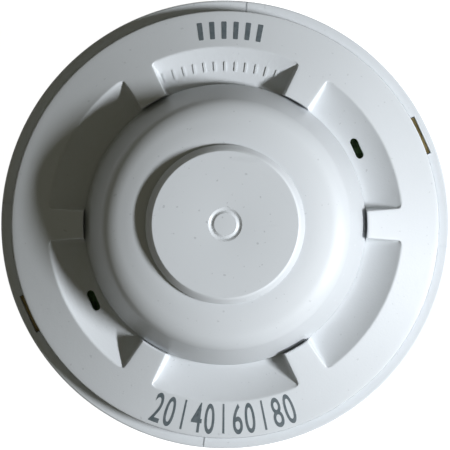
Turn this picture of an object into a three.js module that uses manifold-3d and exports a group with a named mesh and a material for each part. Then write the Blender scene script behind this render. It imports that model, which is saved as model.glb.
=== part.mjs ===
// Combination heat detector: a twist-lock ceiling base and a sensing head.
// The head holds a rate-of-rise air chamber with its diaphragm and leaf switch, and a
// fusible heat collector whose spring pushes it out when its solder melts.
//
// Millimetres and degrees. Z = 0 is the face that meets the ceiling, +Z points into the room.

import * as THREE from 'three';
import { mergeVertices } from 'three/addons/utils/BufferGeometryUtils.js';
import { ConvexGeometry } from 'three/addons/geometries/ConvexGeometry.js';
import Module from 'manifold-3d';

const wasm = await Module();
wasm.setup();

// ---------------------------------------------------------------- driving dimensions

const OVERALL_RADIUS = 58;
const OVERALL_HEIGHT = 43;
const GAP = 0.3;            // air between pieces that rest on each other
const SHELL_SEGMENTS = 48;  // facets round the large mouldings
const PART_SEGMENTS = 20;   // facets round the medium turned pieces
const SMALL_SEGMENTS = 10;  // facets round screws, rivets and holes
const RING_SEGMENTS = 32;   // facets round the board, the gasket and the collector

// Ceiling base: a shallow cup with a central wiring opening.
const BASE = {
  height: 19.4, footRadius: 57.2, skirtRadius: 56, lipRadius: 55.45, lipThickness: 1.8,
  lipSlant: 0.6, edge: 0.6, sideHeight: 3, plate: 2.2, entryRadius: 24, collarWall: 1.6,
  collarTop: 3.6,
};
const WELD = 0.4;           // how far joined shapes run into each other
const SCREW_SLOT = { width: 4.6, wide: [38.5, 46.7], narrow: [26.8, 34.2] };
const TICK = { count: 4, firstAngle: 84.4, length: 8, width: 0.35, depth: 0.35 };

// Bayonet: lugs on the head turn in behind hooks on the base.
const BAYONET = {
  angles: [45, 165, 285], hookHalfAngle: 10, lugHalfAngle: 9, twist: 20, stopGap: 0.35,
  stopAngle: 3, reach: 53.2, hookBottom: 12, hookTop: 13.8, lugRadius: 55,
  lugBottom: 9.5, lugTop: 11.5,
};

// Release latches behind the two slots in the lip of the base.
const LATCH = {
  angles: [24.5, 204.5], slotLength: 10.4, slotWidth: 1.1, slotRadius: 55.6, width: 8.6,
  thickness: 0.4, radius: 54.9, rootHeight: 3.6, eyeRadius: 0.8, top: 18.2, nose: 0.5,
  socketWall: 1.5, socketDepth: 3, socketRadius: 54.3, socketTop: 5, slotDepth: 3,
};

// Head moulding: a conical face with six air scoops round the dome.
const FACE = {
  rimRadius: 55, rimHeight: 22.8, slope: 17.5, edge: 0.4, holeRadius: 36.5,
  ledgeRadius: 36.3, underside: 20.8, coreRadius: 46.6, wall: 2, skirtRadius: 52.5,
  skirtBottom: 8, rimBottom: 18.6,
};
const SCOOP = {
  count: 6, outerRadius: 45.5, innerRadius: 36.95, drop: 2.2, curve: 1.57, steps: 4,
  spokeHalfWidth: 3.53, spokeSpread: 0.077, draft: 6,
};
const VIEW_HOLE = { length: 5.6, width: 2, radius: 39.1, angles: [30, 210], tilt: 114.5 };
const BOSS = { radius: 3.2, circle: 44, bottom: 18, pilot: 1.6, pilotTop: 23, angles: [0, 120, 240] };
const SPOKE_POCKET = { angles: [60, 180, 300], from: 38.8, to: 44.8, width: 4, top: 24 };

// Dome: flat top, crown, rolled shoulder, steep cone, straight wall, clamped flange.
const DOME = {
  radius: 36, top: 40.5, flatRadius: 17.3, wall: 2, bore: 5.6, flangeRadius: 40.5,
  flangeTop: 20.5, flangeBottom: 19.1, flangeInner: 34, notchRadius: 37.5, notchWidth: 8,
};
// Its bends from the flat top outwards: each radius, the slope it ends at, and its facets.
const DOME_BENDS = [
  { radius: 30, slope: 14.5, steps: 2 },
  { radius: 60, slope: 16.5, steps: 1 },
  { radius: 12, slope: 33, steps: 2 },
  { radius: 6.4, slope: 64.5, steps: 3 },
];

// Heat collector disc and its stem.
const DISC = {
  radius: 20, faceRadius: 18.3, edgeTop: 41.4, bottom: 41, grooveRadius: 3.52,
  grooveWidth: 1.45, grooveDepth: 0.35, socketTop: 42.2,
};
const STEM = {
  radius: 1.8, top: 41.9, bottom: 14.1, tip: 0.6, collarRadius: 3.1, collarBottom: 27.9,
  collarTop: 29.7,
};
const BORE_OVER_STEM = 2.1;
const SLEEVE = {
  radius: 5.3, bottom: 15.9, top: 40.4, bore: 3.5, neckBottom: 35, cupRadius: 4.2,
  cupBottom: 38.4, flangeRadius: 7.5, flangeBottom: 36.9, flangeTop: 38.2,
  shoulderRadius: 7.2, shoulderBottom: 20, shoulderTop: 21.2,
};
const SOLDER = { radius: 3.9, bottom: 38.7, top: 40.1 };
const SPRING = { coilRadius: 2.75, wireRadius: 0.4, bottom: 19.3, top: 27.6, turns: 5, stepsPerTurn: 9 };
const SPRING_SEAT = { radius: 3.2, bottom: 16.2, top: 19 };

// Air chamber: plate, seals, diaphragm and vent.
const PLATE = { radius: 46.5, bottom: 15.9, top: 17.7, centreHole: 5.6 };
const GASKET = { inner: 34.4, outer: 37.2, bottom: 18, top: 18.8 };
const SEAL = { ringRadius: 6.4, cordRadius: 0.8, height: 18.85, sides: 6 };
const DIAPHRAGM = {
  x: 20, radius: 10.8, holeRadius: 8.5, thickness: 0.3, rimTop: 18.3, dish: 1.1,
  ripple: 0.22, ripples: 1.5, rimWidth: 2.2, steps: 6,
};
const CLAMP_RING = { inner: 8.6, outer: 11.5, bottom: 18.6, top: 19.8 };
const BUTTON = { headRadius: 2.4, headBottom: 15.9, top: 16.5, pinRadius: 1.2, bottom: 14.5 };
const VENT = {
  x: -18, y: 10, radius: 1.8, bore: 0.5, bottom: 14.8, top: 20.4, flangeRadius: 3,
  flangeBottom: 18, flangeTop: 18.8, holeRadius: 2.1,
};
const FILTER = { radius: 2.6, bottom: 20.7, top: 22.2 };

// Terminal board and what it carries.
const BOARD = {
  radius: 36, bottom: 7.8, top: 10.6, barrier: 1.6, barrierReach: 17, barrierBottom: 4.2,
};
const BOARD_FIXING = { circle: 30, angles: [60, 180, 300], spacerRadius: 3.4, hole: 1.8 };
const TERMINAL = {
  offset: 12, plateLength: 10, plateWidth: 9, plateBottom: 6.9, plateTop: 7.5, hole: 1.95,
};
const CLAMP = { side: 8.4, bottom: 5.8, top: 6.6, lip: 0.8, lipDrop: 0.5, screwSeat: 5.2 };
const LEAF = { width: 5, thickness: 0.3, contactRadius: 1.1, contactHeight: 0.25, rivet: 0.1 };
const POST_FOOT = { length: 2, height: 1 };
const FIXED_LEAF = { hinge: -17, tip: 2.5, bottom: 13.5, contactX: -6, postLength: 5, postWidth: 6 };
const BRIDGE = { length: 3, halfSpan: 6, legInner: 4.5, top: 15.45, bottom: 14.95 };
const RATE_LEAF = { hinge: 12, tip: -4, bottom: 13.9, contactY: -2.5, postLength: 5, postWidth: 6 };

// Screws: shank radius, head radius, head height, length under the head.
const CHAMBER_SCREW = { shank: 1.3, head: 2.7, headHeight: 1.7, length: 7 };
const BOARD_SCREW = { shank: 1.45, head: 2.7, headHeight: 1.9, length: 9.6 };
const TERMINAL_SCREW = { shank: 1.6, head: 3.3, headHeight: 2.3, length: 4.6 };
const ADJUST_SCREW = { shank: 1.2, head: 2.1, headHeight: 1.3, length: 5.4, seat: 7.1 };
const DRIVE_SLOT = { width: 0.8, depth: 0.8 };
const SCREW_CROWN = { radius: 0.8, height: 0.7 };   // shares of the head's radius and height
const TERMINAL_SCREW_TURN = 35;                     // each drive slot is left at its own angle

// ---------------------------------------------------------------- materials

function material(color, roughness, metalness = 0) {
  return new THREE.MeshStandardMaterial({ color, roughness, metalness });
}

const whitePlastic = material(0xe9ebea, 0.5);
const whitePaint = material(0xe6e8e9, 0.45);
const darkBoard = material(0x23282a, 0.6);
const greenLaminate = material(0x1f4a35, 0.45);
const rubber = material(0x1c1c1d, 0.85);
const felt = material(0xb9b2a2, 0.95);
const brass = material(0xb08d45, 0.3, 1);
const bronze = material(0xa9713c, 0.35, 1);
const steel = material(0x9ba0a4, 0.35, 1);
const solder = material(0xb4b6b9, 0.4, 1);

// ---------------------------------------------------------------- shape helpers

const radians = THREE.MathUtils.degToRad;

function polar(radius, angle) {
  return [radius * Math.cos(radians(angle)), radius * Math.sin(radians(angle))];
}

// A closed three.js geometry as a solid that can be joined and cut.
function solid(geometry) {
  const bare = geometry.index ? geometry.toNonIndexed() : geometry.clone();
  bare.deleteAttribute('normal');
  bare.deleteAttribute('uv');
  const merged = mergeVertices(bare, 1e-4);
  const corners = merged.index.array;
  const kept = [];
  for (let i = 0; i < corners.length; i += 3) {
    const [a, b, c] = [corners[i], corners[i + 1], corners[i + 2]];
    if (a !== b && b !== c && c !== a) kept.push(a, b, c);
  }
  return new wasm.Manifold(new wasm.Mesh({
    numProp: 3,
    vertProperties: new Float32Array(merged.attributes.position.array),
    triVerts: new Uint32Array(kept),
  }));
}

function join(first, ...others) {
  return others.reduce((sum, piece) => sum.add(piece), first);
}

function cut(body, ...tools) {
  return tools.reduce((rest, tool) => rest.subtract(tool), body);
}

// The finished solid as a three.js geometry.
function surface(body) {
  const mesh = body.getMesh();
  const geometry = new THREE.BufferGeometry();
  geometry.setAttribute('position', new THREE.BufferAttribute(new Float32Array(mesh.vertProperties), 3));
  geometry.setIndex(new THREE.BufferAttribute(new Uint32Array(mesh.triVerts), 1));
  geometry.computeVertexNormals();
  return geometry;
}

// A closed [radius, height] outline turned about Z. The outline may start and end on the axis.
function revolve(outline, segments = PART_SEGMENTS) {
  let area = 0;
  outline.forEach(([r, z], i) => {
    const [nextR, nextZ] = outline[(i + 1) % outline.length];
    area += r * nextZ - nextR * z;
  });
  const ordered = area > 0 ? outline.slice() : outline.slice().reverse();
  const onAxis = ordered.filter(([r]) => r === 0).length > 0;
  if (onAxis) {
    while (!(ordered[0][0] === 0 && ordered[ordered.length - 1][0] === 0)) ordered.push(ordered.shift());
  } else {
    ordered.push(ordered[0]);
  }
  const points = ordered.map(([r, z]) => new THREE.Vector2(r, z));
  return solid(new THREE.LatheGeometry(points, segments).rotateX(Math.PI / 2));
}

function rod(radius, bottom, top, x = 0, y = 0, segments = SMALL_SEGMENTS) {
  const geometry = new THREE.CylinderGeometry(radius, radius, top - bottom, segments);
  return solid(geometry.rotateX(Math.PI / 2).translate(x, y, (bottom + top) / 2));
}

function ring(inner, outer, bottom, top, segments = PART_SEGMENTS) {
  return revolve([[inner, bottom], [outer, bottom], [outer, top], [inner, top]], segments);
}

function block(xRange, yRange, zRange) {
  const size = [xRange, yRange, zRange].map(([low, high]) => high - low);
  const centre = [xRange, yRange, zRange].map(([low, high]) => (low + high) / 2);
  return solid(new THREE.BoxGeometry(...size).translate(...centre));
}

// A slice of a ring between two angles.
function ringSlice(inner, outer, fromAngle, toAngle, bottom, top) {
  const shape = new THREE.Shape();
  shape.absarc(0, 0, outer, radians(fromAngle), radians(toAngle), false);
  shape.absarc(0, 0, inner, radians(toAngle), radians(fromAngle), true);
  const options = { depth: top - bottom, bevelEnabled: false, curveSegments: 5 };
  return solid(new THREE.ExtrudeGeometry(shape, options).translate(0, 0, bottom));
}

// A slot with round ends, its long axis turned by an angle about its centre.
function obround(length, width, bottom, top, x, y, angle) {
  const half = (length - width) / 2;
  const shape = new THREE.Shape();
  shape.absarc(half, 0, width / 2, -Math.PI / 2, Math.PI / 2, false);
  shape.absarc(-half, 0, width / 2, Math.PI / 2, 1.5 * Math.PI, false);
  const options = { depth: top - bottom, bevelEnabled: false, curveSegments: 6 };
  const geometry = new THREE.ExtrudeGeometry(shape, options).rotateZ(radians(angle));
  return solid(geometry.translate(x, y, bottom));
}

// An outline in the X-Z plane pushed out along Y, centred on Y = 0.
function extrudeAlongY(outline, width) {
  const shape = new THREE.Shape(outline.map(([x, z]) => new THREE.Vector2(x, z)));
  const geometry = new THREE.ExtrudeGeometry(shape, { depth: width, bevelEnabled: false });
  return solid(geometry.rotateX(Math.PI / 2).translate(0, width / 2, 0));
}

// A slotted pan-head screw with its head at the bottom and its shank pointing up from Z = 0.
function screw({ shank, head, headHeight, length }) {
  const crown = head * SCREW_CROWN.radius;
  const body = revolve([
    [0, -headHeight], [crown, -headHeight], [head, -headHeight * SCREW_CROWN.height], [head, 0],
    [shank, 0], [shank, length - shank / 2], [shank / 2, length], [0, length],
  ], SMALL_SEGMENTS);
  const slot = block([-head, head], [-DRIVE_SLOT.width / 2, DRIVE_SLOT.width / 2],
    [-headHeight - 1, DRIVE_SLOT.depth - headHeight]);
  return surface(cut(body, slot));
}

// ---------------------------------------------------------------- the ceiling base

function makeMountingBase() {
  const { height, footRadius, skirtRadius, lipRadius, lipThickness, edge, plate } = BASE;
  let body = revolve([
    [BASE.entryRadius, 0], [footRadius, 0], [OVERALL_RADIUS, height - BASE.sideHeight],
    [OVERALL_RADIUS, height - edge], [OVERALL_RADIUS - edge, height], [lipRadius, height],
    [lipRadius, height - lipThickness], [skirtRadius, height - lipThickness - BASE.lipSlant],
    [skirtRadius, plate], [BASE.entryRadius + BASE.collarWall, plate],
    [BASE.entryRadius + BASE.collarWall, BASE.collarTop], [BASE.entryRadius, BASE.collarTop],
  ], SHELL_SEGMENTS);

  for (const angle of BAYONET.angles) {
    const wall = skirtRadius + WELD;
    const root = plate - WELD;
    const home = angle - BAYONET.lugHalfAngle - BAYONET.stopGap;
    const open = angle + BAYONET.lugHalfAngle + BAYONET.twist + BAYONET.stopGap;
    body = join(body,
      ringSlice(BAYONET.reach, wall, angle - BAYONET.hookHalfAngle, angle + BAYONET.hookHalfAngle,
        BAYONET.hookBottom, BAYONET.hookTop),
      ringSlice(BAYONET.reach, wall, home - BAYONET.stopAngle, home, root, BAYONET.hookTop),
      ringSlice(BAYONET.reach, wall, open, open + BAYONET.stopAngle, root, BAYONET.hookTop));
  }
  for (const angle of LATCH.angles) body = cut(join(body, latchSocket(angle)), latchSlot(angle));

  for (const side of [0, 180]) body = cut(body, screwSlot(SCREW_SLOT.wide, side));
  for (const side of [90, 270]) body = cut(body, screwSlot(SCREW_SLOT.narrow, side));

  for (let i = 0; i < TICK.count; i += 1) {
    const tick = new THREE.BoxGeometry(TICK.length, TICK.width, TICK.depth * 2);
    tick.translate(OVERALL_RADIUS, 0, height).rotateZ(radians(TICK.firstAngle + i * 90));
    body = cut(body, solid(tick));
  }
  return surface(body);
}

function screwSlot([from, to], angle) {
  const [x, y] = polar((from + to) / 2, angle);
  return obround(to - from, SCREW_SLOT.width, -1, BASE.plate + 1, x, y, angle);
}

// The straight slot in the lip through which the latch is pressed.
function latchSlot(angle) {
  const slot = new THREE.BoxGeometry(LATCH.slotWidth, LATCH.slotLength, LATCH.slotDepth * 2);
  return solid(slot.translate(LATCH.slotRadius, 0, BASE.height).rotateZ(radians(angle)));
}

// Two ribs on the back plate that hold the rolled root of the latch between them.
function latchSocket(angle) {
  const height = LATCH.socketTop - BASE.plate + WELD;
  const offset = LATCH.width / 2 + GAP + LATCH.socketWall / 2;
  const ribs = [-offset, offset].map((y) => {
    const rib = new THREE.BoxGeometry(LATCH.socketDepth, LATCH.socketWall, height);
    rib.translate(LATCH.socketRadius, y, LATCH.socketTop - height / 2);
    return solid(rib.rotateZ(radians(angle)));
  });
  return join(...ribs);
}

// Spring leaf with a rolled root and a bent nose, drawn at the root's own axis.
function makeReleaseLatch() {
  const half = LATCH.thickness / 2;
  const rise = LATCH.top - LATCH.rootHeight;
  const leaf = extrudeAlongY([
    [-half, 0], [half, 0], [half, rise - LATCH.thickness], [half + LATCH.nose, rise - LATCH.thickness],
    [half + LATCH.nose, rise], [-half, rise],
  ], LATCH.width);
  const eye = new THREE.CylinderGeometry(LATCH.eyeRadius, LATCH.eyeRadius, LATCH.width, 12);
  return surface(join(leaf, solid(eye)));
}

// ---------------------------------------------------------------- the head mouldings

function faceHeight(radius) {
  return FACE.rimHeight + (FACE.rimRadius - radius) * Math.tan(radians(FACE.slope));
}

function scoopFloor(radius) {
  const along = Math.min(1, (SCOOP.outerRadius - radius) / (SCOOP.outerRadius - SCOOP.innerRadius));
  return faceHeight(SCOOP.outerRadius) - SCOOP.drop * (1 - (1 - along) ** SCOOP.curve);
}

// A ring with the scoops' floor profile, less the six spokes that stay standing.
function scoopCutter() {
  const above = faceHeight(FACE.holeRadius) + 2;
  const inside = FACE.ledgeRadius - 1;
  const outline = [[inside, above], [inside, scoopFloor(inside)]];
  for (let i = SCOOP.steps; i >= 0; i -= 1) {
    const radius = SCOOP.innerRadius + (1 - i / SCOOP.steps) * (SCOOP.outerRadius - SCOOP.innerRadius);
    outline.push([radius, scoopFloor(radius)]);
  }
  outline.push([SCOOP.outerRadius, above]);
  let cutter = revolve(outline, SHELL_SEGMENTS);
  for (let i = 0; i < SCOOP.count; i += 1) {
    cutter = cut(cutter, spoke((i * 360) / SCOOP.count));
  }
  return cutter;
}

// One spoke between two scoops: it widens outwards, and downwards by the mould's draft.
function spoke(angle) {
  const corners = [];
  for (const radius of [FACE.ledgeRadius - 2, SCOOP.outerRadius + 1]) {
    const atFace = SCOOP.spokeHalfWidth + (radius - SCOOP.innerRadius) * SCOOP.spokeSpread;
    for (const height of [FACE.underside, faceHeight(FACE.holeRadius) + 3]) {
      const half = atFace + (faceHeight(radius) - height) * Math.tan(radians(SCOOP.draft));
      corners.push(new THREE.Vector3(radius, half, height), new THREE.Vector3(radius, -half, height));
    }
  }
  return solid(new ConvexGeometry(corners).rotateZ(radians(angle)));
}

function makeHousing() {
  const innerSkirt = FACE.skirtRadius - FACE.wall;
  let body = revolve([
    [FACE.ledgeRadius, FACE.underside], [FACE.coreRadius, FACE.underside],
    [FACE.coreRadius, faceHeight(FACE.coreRadius) - FACE.wall],
    [innerSkirt, faceHeight(innerSkirt) - FACE.wall], [innerSkirt, FACE.skirtBottom],
    [FACE.skirtRadius, FACE.skirtBottom], [FACE.skirtRadius, FACE.rimBottom],
    [FACE.rimRadius, FACE.rimBottom], [FACE.rimRadius, FACE.rimHeight - FACE.edge],
    [FACE.rimRadius - FACE.edge, faceHeight(FACE.rimRadius - FACE.edge)],
    [FACE.holeRadius, faceHeight(FACE.holeRadius)],
    [FACE.holeRadius, scoopFloor(FACE.holeRadius)],
    [FACE.ledgeRadius, scoopFloor(FACE.holeRadius)],
  ], SHELL_SEGMENTS);
  body = cut(body, scoopCutter());

  for (const angle of VIEW_HOLE.angles) {
    const [x, y] = polar(VIEW_HOLE.radius, angle);
    body = cut(body, obround(VIEW_HOLE.length, VIEW_HOLE.width, FACE.underside - 1,
      faceHeight(FACE.holeRadius), x, y, VIEW_HOLE.tilt));
  }
  for (const angle of SPOKE_POCKET.angles) {
    const pocket = block([SPOKE_POCKET.from, SPOKE_POCKET.to],
      [-SPOKE_POCKET.width / 2, SPOKE_POCKET.width / 2], [FACE.underside - 1, SPOKE_POCKET.top]);
    body = cut(body, pocket.rotate([0, 0, angle]));
  }
  for (const angle of BOSS.angles) {
    const [x, y] = polar(BOSS.circle, angle);
    body = join(body, rod(BOSS.radius, BOSS.bottom, FACE.underside + WELD, x, y));
    body = cut(body, rod(BOSS.pilot, BOSS.bottom - 1, BOSS.pilotTop, x, y));
  }
  for (const angle of BAYONET.angles) {
    body = join(body, ringSlice(FACE.skirtRadius - WELD, BAYONET.lugRadius,
      angle - BAYONET.lugHalfAngle, angle + BAYONET.lugHalfAngle, BAYONET.lugBottom, BAYONET.lugTop));
  }
  return surface(body);
}

// The dome's curve from its flat top out and down to its straight wall, set in by a depth.
function domeCurve(inset) {
  const points = [[DOME.flatRadius, DOME.top - inset]];
  const centre = [DOME.flatRadius, DOME.top];
  let [slope, previous] = [0, 0];
  for (const bend of DOME_BENDS) {
    centre[0] += (previous - bend.radius) * Math.sin(radians(slope));
    centre[1] += (previous - bend.radius) * Math.cos(radians(slope));
    for (let i = 1; i <= bend.steps; i += 1) {
      const turn = radians(slope + ((bend.slope - slope) * i) / bend.steps);
      const reach = bend.radius - inset;
      points.push([centre[0] + reach * Math.sin(turn), centre[1] + reach * Math.cos(turn)]);
    }
    [slope, previous] = [bend.slope, bend.radius];
  }
  const [lastRadius, lastHeight] = points[points.length - 1];
  const wall = DOME.radius - inset;
  points.push([wall, lastHeight - (wall - lastRadius) * Math.tan(radians(slope))]);
  return points;
}

function makeDomeShell() {
  const outside = domeCurve(0);
  const inside = domeCurve(DOME.wall).reverse();
  let body = revolve([
    [DOME.bore, DOME.top], ...outside, [DOME.radius, DOME.flangeTop],
    [DOME.flangeRadius, DOME.flangeTop], [DOME.flangeRadius, DOME.flangeBottom],
    [DOME.flangeInner, DOME.flangeBottom], ...inside, [DOME.bore, DOME.top - DOME.wall],
  ], SHELL_SEGMENTS);
  for (const angle of VIEW_HOLE.angles) {
    const notch = block([DOME.notchRadius, DOME.flangeRadius + 1],
      [-DOME.notchWidth / 2, DOME.notchWidth / 2], [DOME.flangeBottom - 1, DOME.flangeTop + 1]);
    body = cut(body, notch.rotate([0, 0, angle]));
  }
  return surface(body);
}

// ---------------------------------------------------------------- the fusible collector

function makeHeatCollector() {
  const groove = DISC.grooveWidth / 2;
  return surface(revolve([
    [0, DISC.socketTop], [BORE_OVER_STEM, DISC.socketTop], [BORE_OVER_STEM, DISC.bottom],
    [DISC.radius, DISC.bottom], [DISC.radius, DISC.edgeTop], [DISC.faceRadius, OVERALL_HEIGHT],
    [DISC.grooveRadius + groove, OVERALL_HEIGHT],
    [DISC.grooveRadius, OVERALL_HEIGHT - DISC.grooveDepth],
    [DISC.grooveRadius - groove, OVERALL_HEIGHT], [0, OVERALL_HEIGHT],
  ], RING_SEGMENTS));
}

function makeCollectorStem() {
  return surface(revolve([
    [0, STEM.bottom], [STEM.radius - STEM.tip, STEM.bottom], [STEM.radius, STEM.bottom + STEM.tip],
    [STEM.radius, STEM.collarBottom], [STEM.collarRadius, STEM.collarBottom],
    [STEM.collarRadius, STEM.collarTop], [STEM.radius, STEM.collarTop],
    [STEM.radius, STEM.top], [0, STEM.top],
  ], SMALL_SEGMENTS));
}

function makeGuideSleeve() {
  return surface(revolve([
    [SLEEVE.bore, SLEEVE.bottom], [SLEEVE.radius, SLEEVE.bottom],
    [SLEEVE.radius, SLEEVE.shoulderBottom], [SLEEVE.shoulderRadius, SLEEVE.shoulderBottom],
    [SLEEVE.shoulderRadius, SLEEVE.shoulderTop], [SLEEVE.radius, SLEEVE.shoulderTop],
    [SLEEVE.radius, SLEEVE.flangeBottom], [SLEEVE.flangeRadius, SLEEVE.flangeBottom],
    [SLEEVE.flangeRadius, SLEEVE.flangeTop], [SLEEVE.radius, SLEEVE.flangeTop],
    [SLEEVE.radius, SLEEVE.top], [SLEEVE.cupRadius, SLEEVE.top],
    [SLEEVE.cupRadius, SLEEVE.cupBottom], [BORE_OVER_STEM, SLEEVE.cupBottom],
    [BORE_OVER_STEM, SLEEVE.neckBottom], [SLEEVE.bore, SLEEVE.neckBottom],
  ]));
}

class Helix extends THREE.Curve {
  getPoint(t, target = new THREE.Vector3()) {
    const turn = t * SPRING.turns * 2 * Math.PI;
    const low = SPRING.bottom + SPRING.wireRadius;
    const high = SPRING.top - SPRING.wireRadius;
    return target.set(SPRING.coilRadius * Math.cos(turn), SPRING.coilRadius * Math.sin(turn),
      low + t * (high - low));
  }
}

function makeReleaseSpring() {
  const wire = new THREE.Shape();
  for (let i = 0; i < 6; i += 1) {
    const [x, y] = polar(SPRING.wireRadius, i * 60);
    if (i === 0) wire.moveTo(x, y);
    else wire.lineTo(x, y);
  }
  const steps = SPRING.turns * SPRING.stepsPerTurn;
  const options = { steps, extrudePath: new Helix(), bevelEnabled: false };
  return surface(solid(new THREE.ExtrudeGeometry(wire, options)));
}

// ---------------------------------------------------------------- the air chamber

function makeChamberPlate() {
  let body = rod(PLATE.radius, PLATE.bottom, PLATE.top, 0, 0, SHELL_SEGMENTS);
  const holes = [
    [PLATE.centreHole, 0, 0, PART_SEGMENTS],
    [DIAPHRAGM.holeRadius, DIAPHRAGM.x, 0, PART_SEGMENTS],
    [VENT.holeRadius, VENT.x, VENT.y, SMALL_SEGMENTS],
    ...BOSS.angles.map((angle) => [BOSS.pilot, ...polar(BOSS.circle, angle), SMALL_SEGMENTS]),
    ...BOARD_FIXING.angles.map((angle) => [
      BOARD_FIXING.hole, ...polar(BOARD_FIXING.circle, angle), SMALL_SEGMENTS,
    ]),
  ];
  for (const [radius, x, y, segments] of holes) {
    body = cut(body, rod(radius, PLATE.bottom - 1, PLATE.top + 1, x, y, segments));
  }
  return surface(body);
}

function makeSleeveSeal() {
  const cord = [];
  for (let i = 0; i < SEAL.sides; i += 1) {
    const [r, z] = polar(SEAL.cordRadius, (i * 360) / SEAL.sides);
    cord.push([SEAL.ringRadius + r, SEAL.height + z]);
  }
  return surface(revolve(cord));
}

// A thin dished disc with rippled rings round its middle.
function makeDiaphragm() {
  const free = DIAPHRAGM.radius - DIAPHRAGM.rimWidth;
  const top = [];
  for (let i = 0; i <= DIAPHRAGM.steps; i += 1) {
    const along = i / DIAPHRAGM.steps;
    const dish = DIAPHRAGM.dish * (1 + Math.cos(along * Math.PI)) / 2;
    const wave = DIAPHRAGM.ripple * Math.sin(along * Math.PI * 2 * DIAPHRAGM.ripples) * along;
    top.push([along * free, DIAPHRAGM.rimTop - dish + wave * (1 - along) * 2]);
  }
  top.push([DIAPHRAGM.radius, DIAPHRAGM.rimTop]);
  const under = top.map(([r, z]) => [r, z - DIAPHRAGM.thickness]).reverse();
  return surface(revolve([...top, ...under]));
}

function makeDiaphragmButton() {
  return surface(revolve([
    [0, BUTTON.bottom], [BUTTON.pinRadius, BUTTON.bottom], [BUTTON.pinRadius, BUTTON.headBottom],
    [BUTTON.headRadius, BUTTON.headBottom], [BUTTON.headRadius, BUTTON.top], [0, BUTTON.top],
  ], SMALL_SEGMENTS));
}

function makeCalibratedVent() {
  return surface(revolve([
    [VENT.bore, VENT.bottom], [VENT.radius, VENT.bottom], [VENT.radius, VENT.flangeBottom],
    [VENT.flangeRadius, VENT.flangeBottom], [VENT.flangeRadius, VENT.flangeTop],
    [VENT.radius, VENT.flangeTop], [VENT.radius, VENT.top], [VENT.bore, VENT.top],
  ], SMALL_SEGMENTS));
}

// ---------------------------------------------------------------- the terminal board

const TERMINAL_CORNERS = [[1, 1], [-1, 1], [-1, -1], [1, -1]];

function makeTerminalBoard() {
  const reach = BOARD.barrierReach;
  const half = BOARD.barrier / 2;
  const ribHeights = [BOARD.barrierBottom, BOARD.bottom + WELD];
  let body = join(
    rod(BOARD.radius, BOARD.bottom, BOARD.top, 0, 0, RING_SEGMENTS),
    block([-reach, reach], [-half, half], ribHeights),
    block([-half, half], [-reach, reach], ribHeights),
  );
  const holes = [
    ...BOARD_FIXING.angles.map((angle) => [BOARD_FIXING.hole, ...polar(BOARD_FIXING.circle, angle)]),
    ...TERMINAL_CORNERS.map(([x, y]) => [TERMINAL.hole, x * TERMINAL.offset, y * TERMINAL.offset]),
    [ADJUST_SCREW.shank + GAP, DIAPHRAGM.x, RATE_LEAF.contactY],
  ];
  for (const [radius, x, y] of holes) {
    body = cut(body, rod(radius, BOARD.bottom - 1, BOARD.top + 1, x, y));
  }
  return surface(body);
}

function makeTerminalPlate() {
  const { plateLength, plateWidth, plateBottom, plateTop, hole } = TERMINAL;
  const strip = block([-plateLength / 2, plateLength / 2], [-plateWidth / 2, plateWidth / 2],
    [plateBottom, plateTop]);
  return surface(cut(strip, rod(hole, plateBottom - 1, plateTop + 1)));
}

// A square washer whose two edges are turned down to keep the wire under it.
function makeTerminalClamp() {
  const half = CLAMP.side / 2;
  const low = CLAMP.bottom - CLAMP.lipDrop;
  const body = join(
    block([-half, half], [-half, half], [CLAMP.bottom, CLAMP.top]),
    block([-half, CLAMP.lip - half], [-half, half], [low, CLAMP.top]),
    block([half - CLAMP.lip, half], [-half, half], [low, CLAMP.top]),
  );
  return surface(cut(body, rod(TERMINAL.hole, low - 1, CLAMP.top + 1)));
}

// The switch leaves start just past the posts that hold them and bend about that line.
function makeFixedLeaf() {
  const { hinge, tip, bottom, contactX } = FIXED_LEAF;
  const top = bottom + LEAF.thickness;
  return surface(join(
    block([hinge, tip], [-LEAF.width / 2, LEAF.width / 2], [bottom, top]),
    rod(LEAF.contactRadius, top - LEAF.rivet, top + LEAF.contactHeight, contactX, 0),
  ));
}

function makeRateLeaf() {
  const { hinge, tip, bottom, contactY } = RATE_LEAF;
  return surface(join(
    block([-LEAF.width / 2, LEAF.width / 2], [tip, hinge], [bottom, bottom + LEAF.thickness]),
    rod(LEAF.contactRadius, bottom - LEAF.contactHeight, bottom + LEAF.rivet, 0, contactY),
  ));
}

function makeLeafPost({ postLength: length, postWidth: width, bottom }) {
  const foot = BOARD.top + GAP;
  const top = bottom + LEAF.thickness;
  return surface(join(
    block([-length / 2, length / 2], [-width / 2, width / 2], [foot, top]),
    block([-length / 2 - POST_FOOT.length, length / 2], [-width / 2, width / 2],
      [foot, foot + POST_FOOT.height]),
  ));
}

function makeContactBridge() {
  const half = BRIDGE.length / 2;
  const foot = BOARD.top + GAP;
  return surface(join(
    block([-half, half], [-BRIDGE.halfSpan, BRIDGE.halfSpan], [BRIDGE.bottom, BRIDGE.top]),
    block([-half, half], [-BRIDGE.halfSpan, -BRIDGE.legInner], [foot, BRIDGE.top]),
    block([-half, half], [BRIDGE.legInner, BRIDGE.halfSpan], [foot, BRIDGE.top]),
  ));
}

// ---------------------------------------------------------------- assembly

const detector = new THREE.Group();
const base = new THREE.Group();
const head = new THREE.Group();
detector.add(base, head);

function place(parent, name, geometry, finish, position = [0, 0, 0], turn = 0) {
  const mesh = new THREE.Mesh(geometry, finish);
  mesh.name = name;
  mesh.position.set(...position);
  mesh.rotation.z = radians(turn);
  parent.add(mesh);
}

place(base, 'mounting_base', makeMountingBase(), whitePlastic);
LATCH.angles.forEach((angle, i) => {
  const root = [...polar(LATCH.radius, angle), LATCH.rootHeight];
  place(base, `release_latch_${i + 1}`, makeReleaseLatch(), bronze, root, angle);
});

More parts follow.
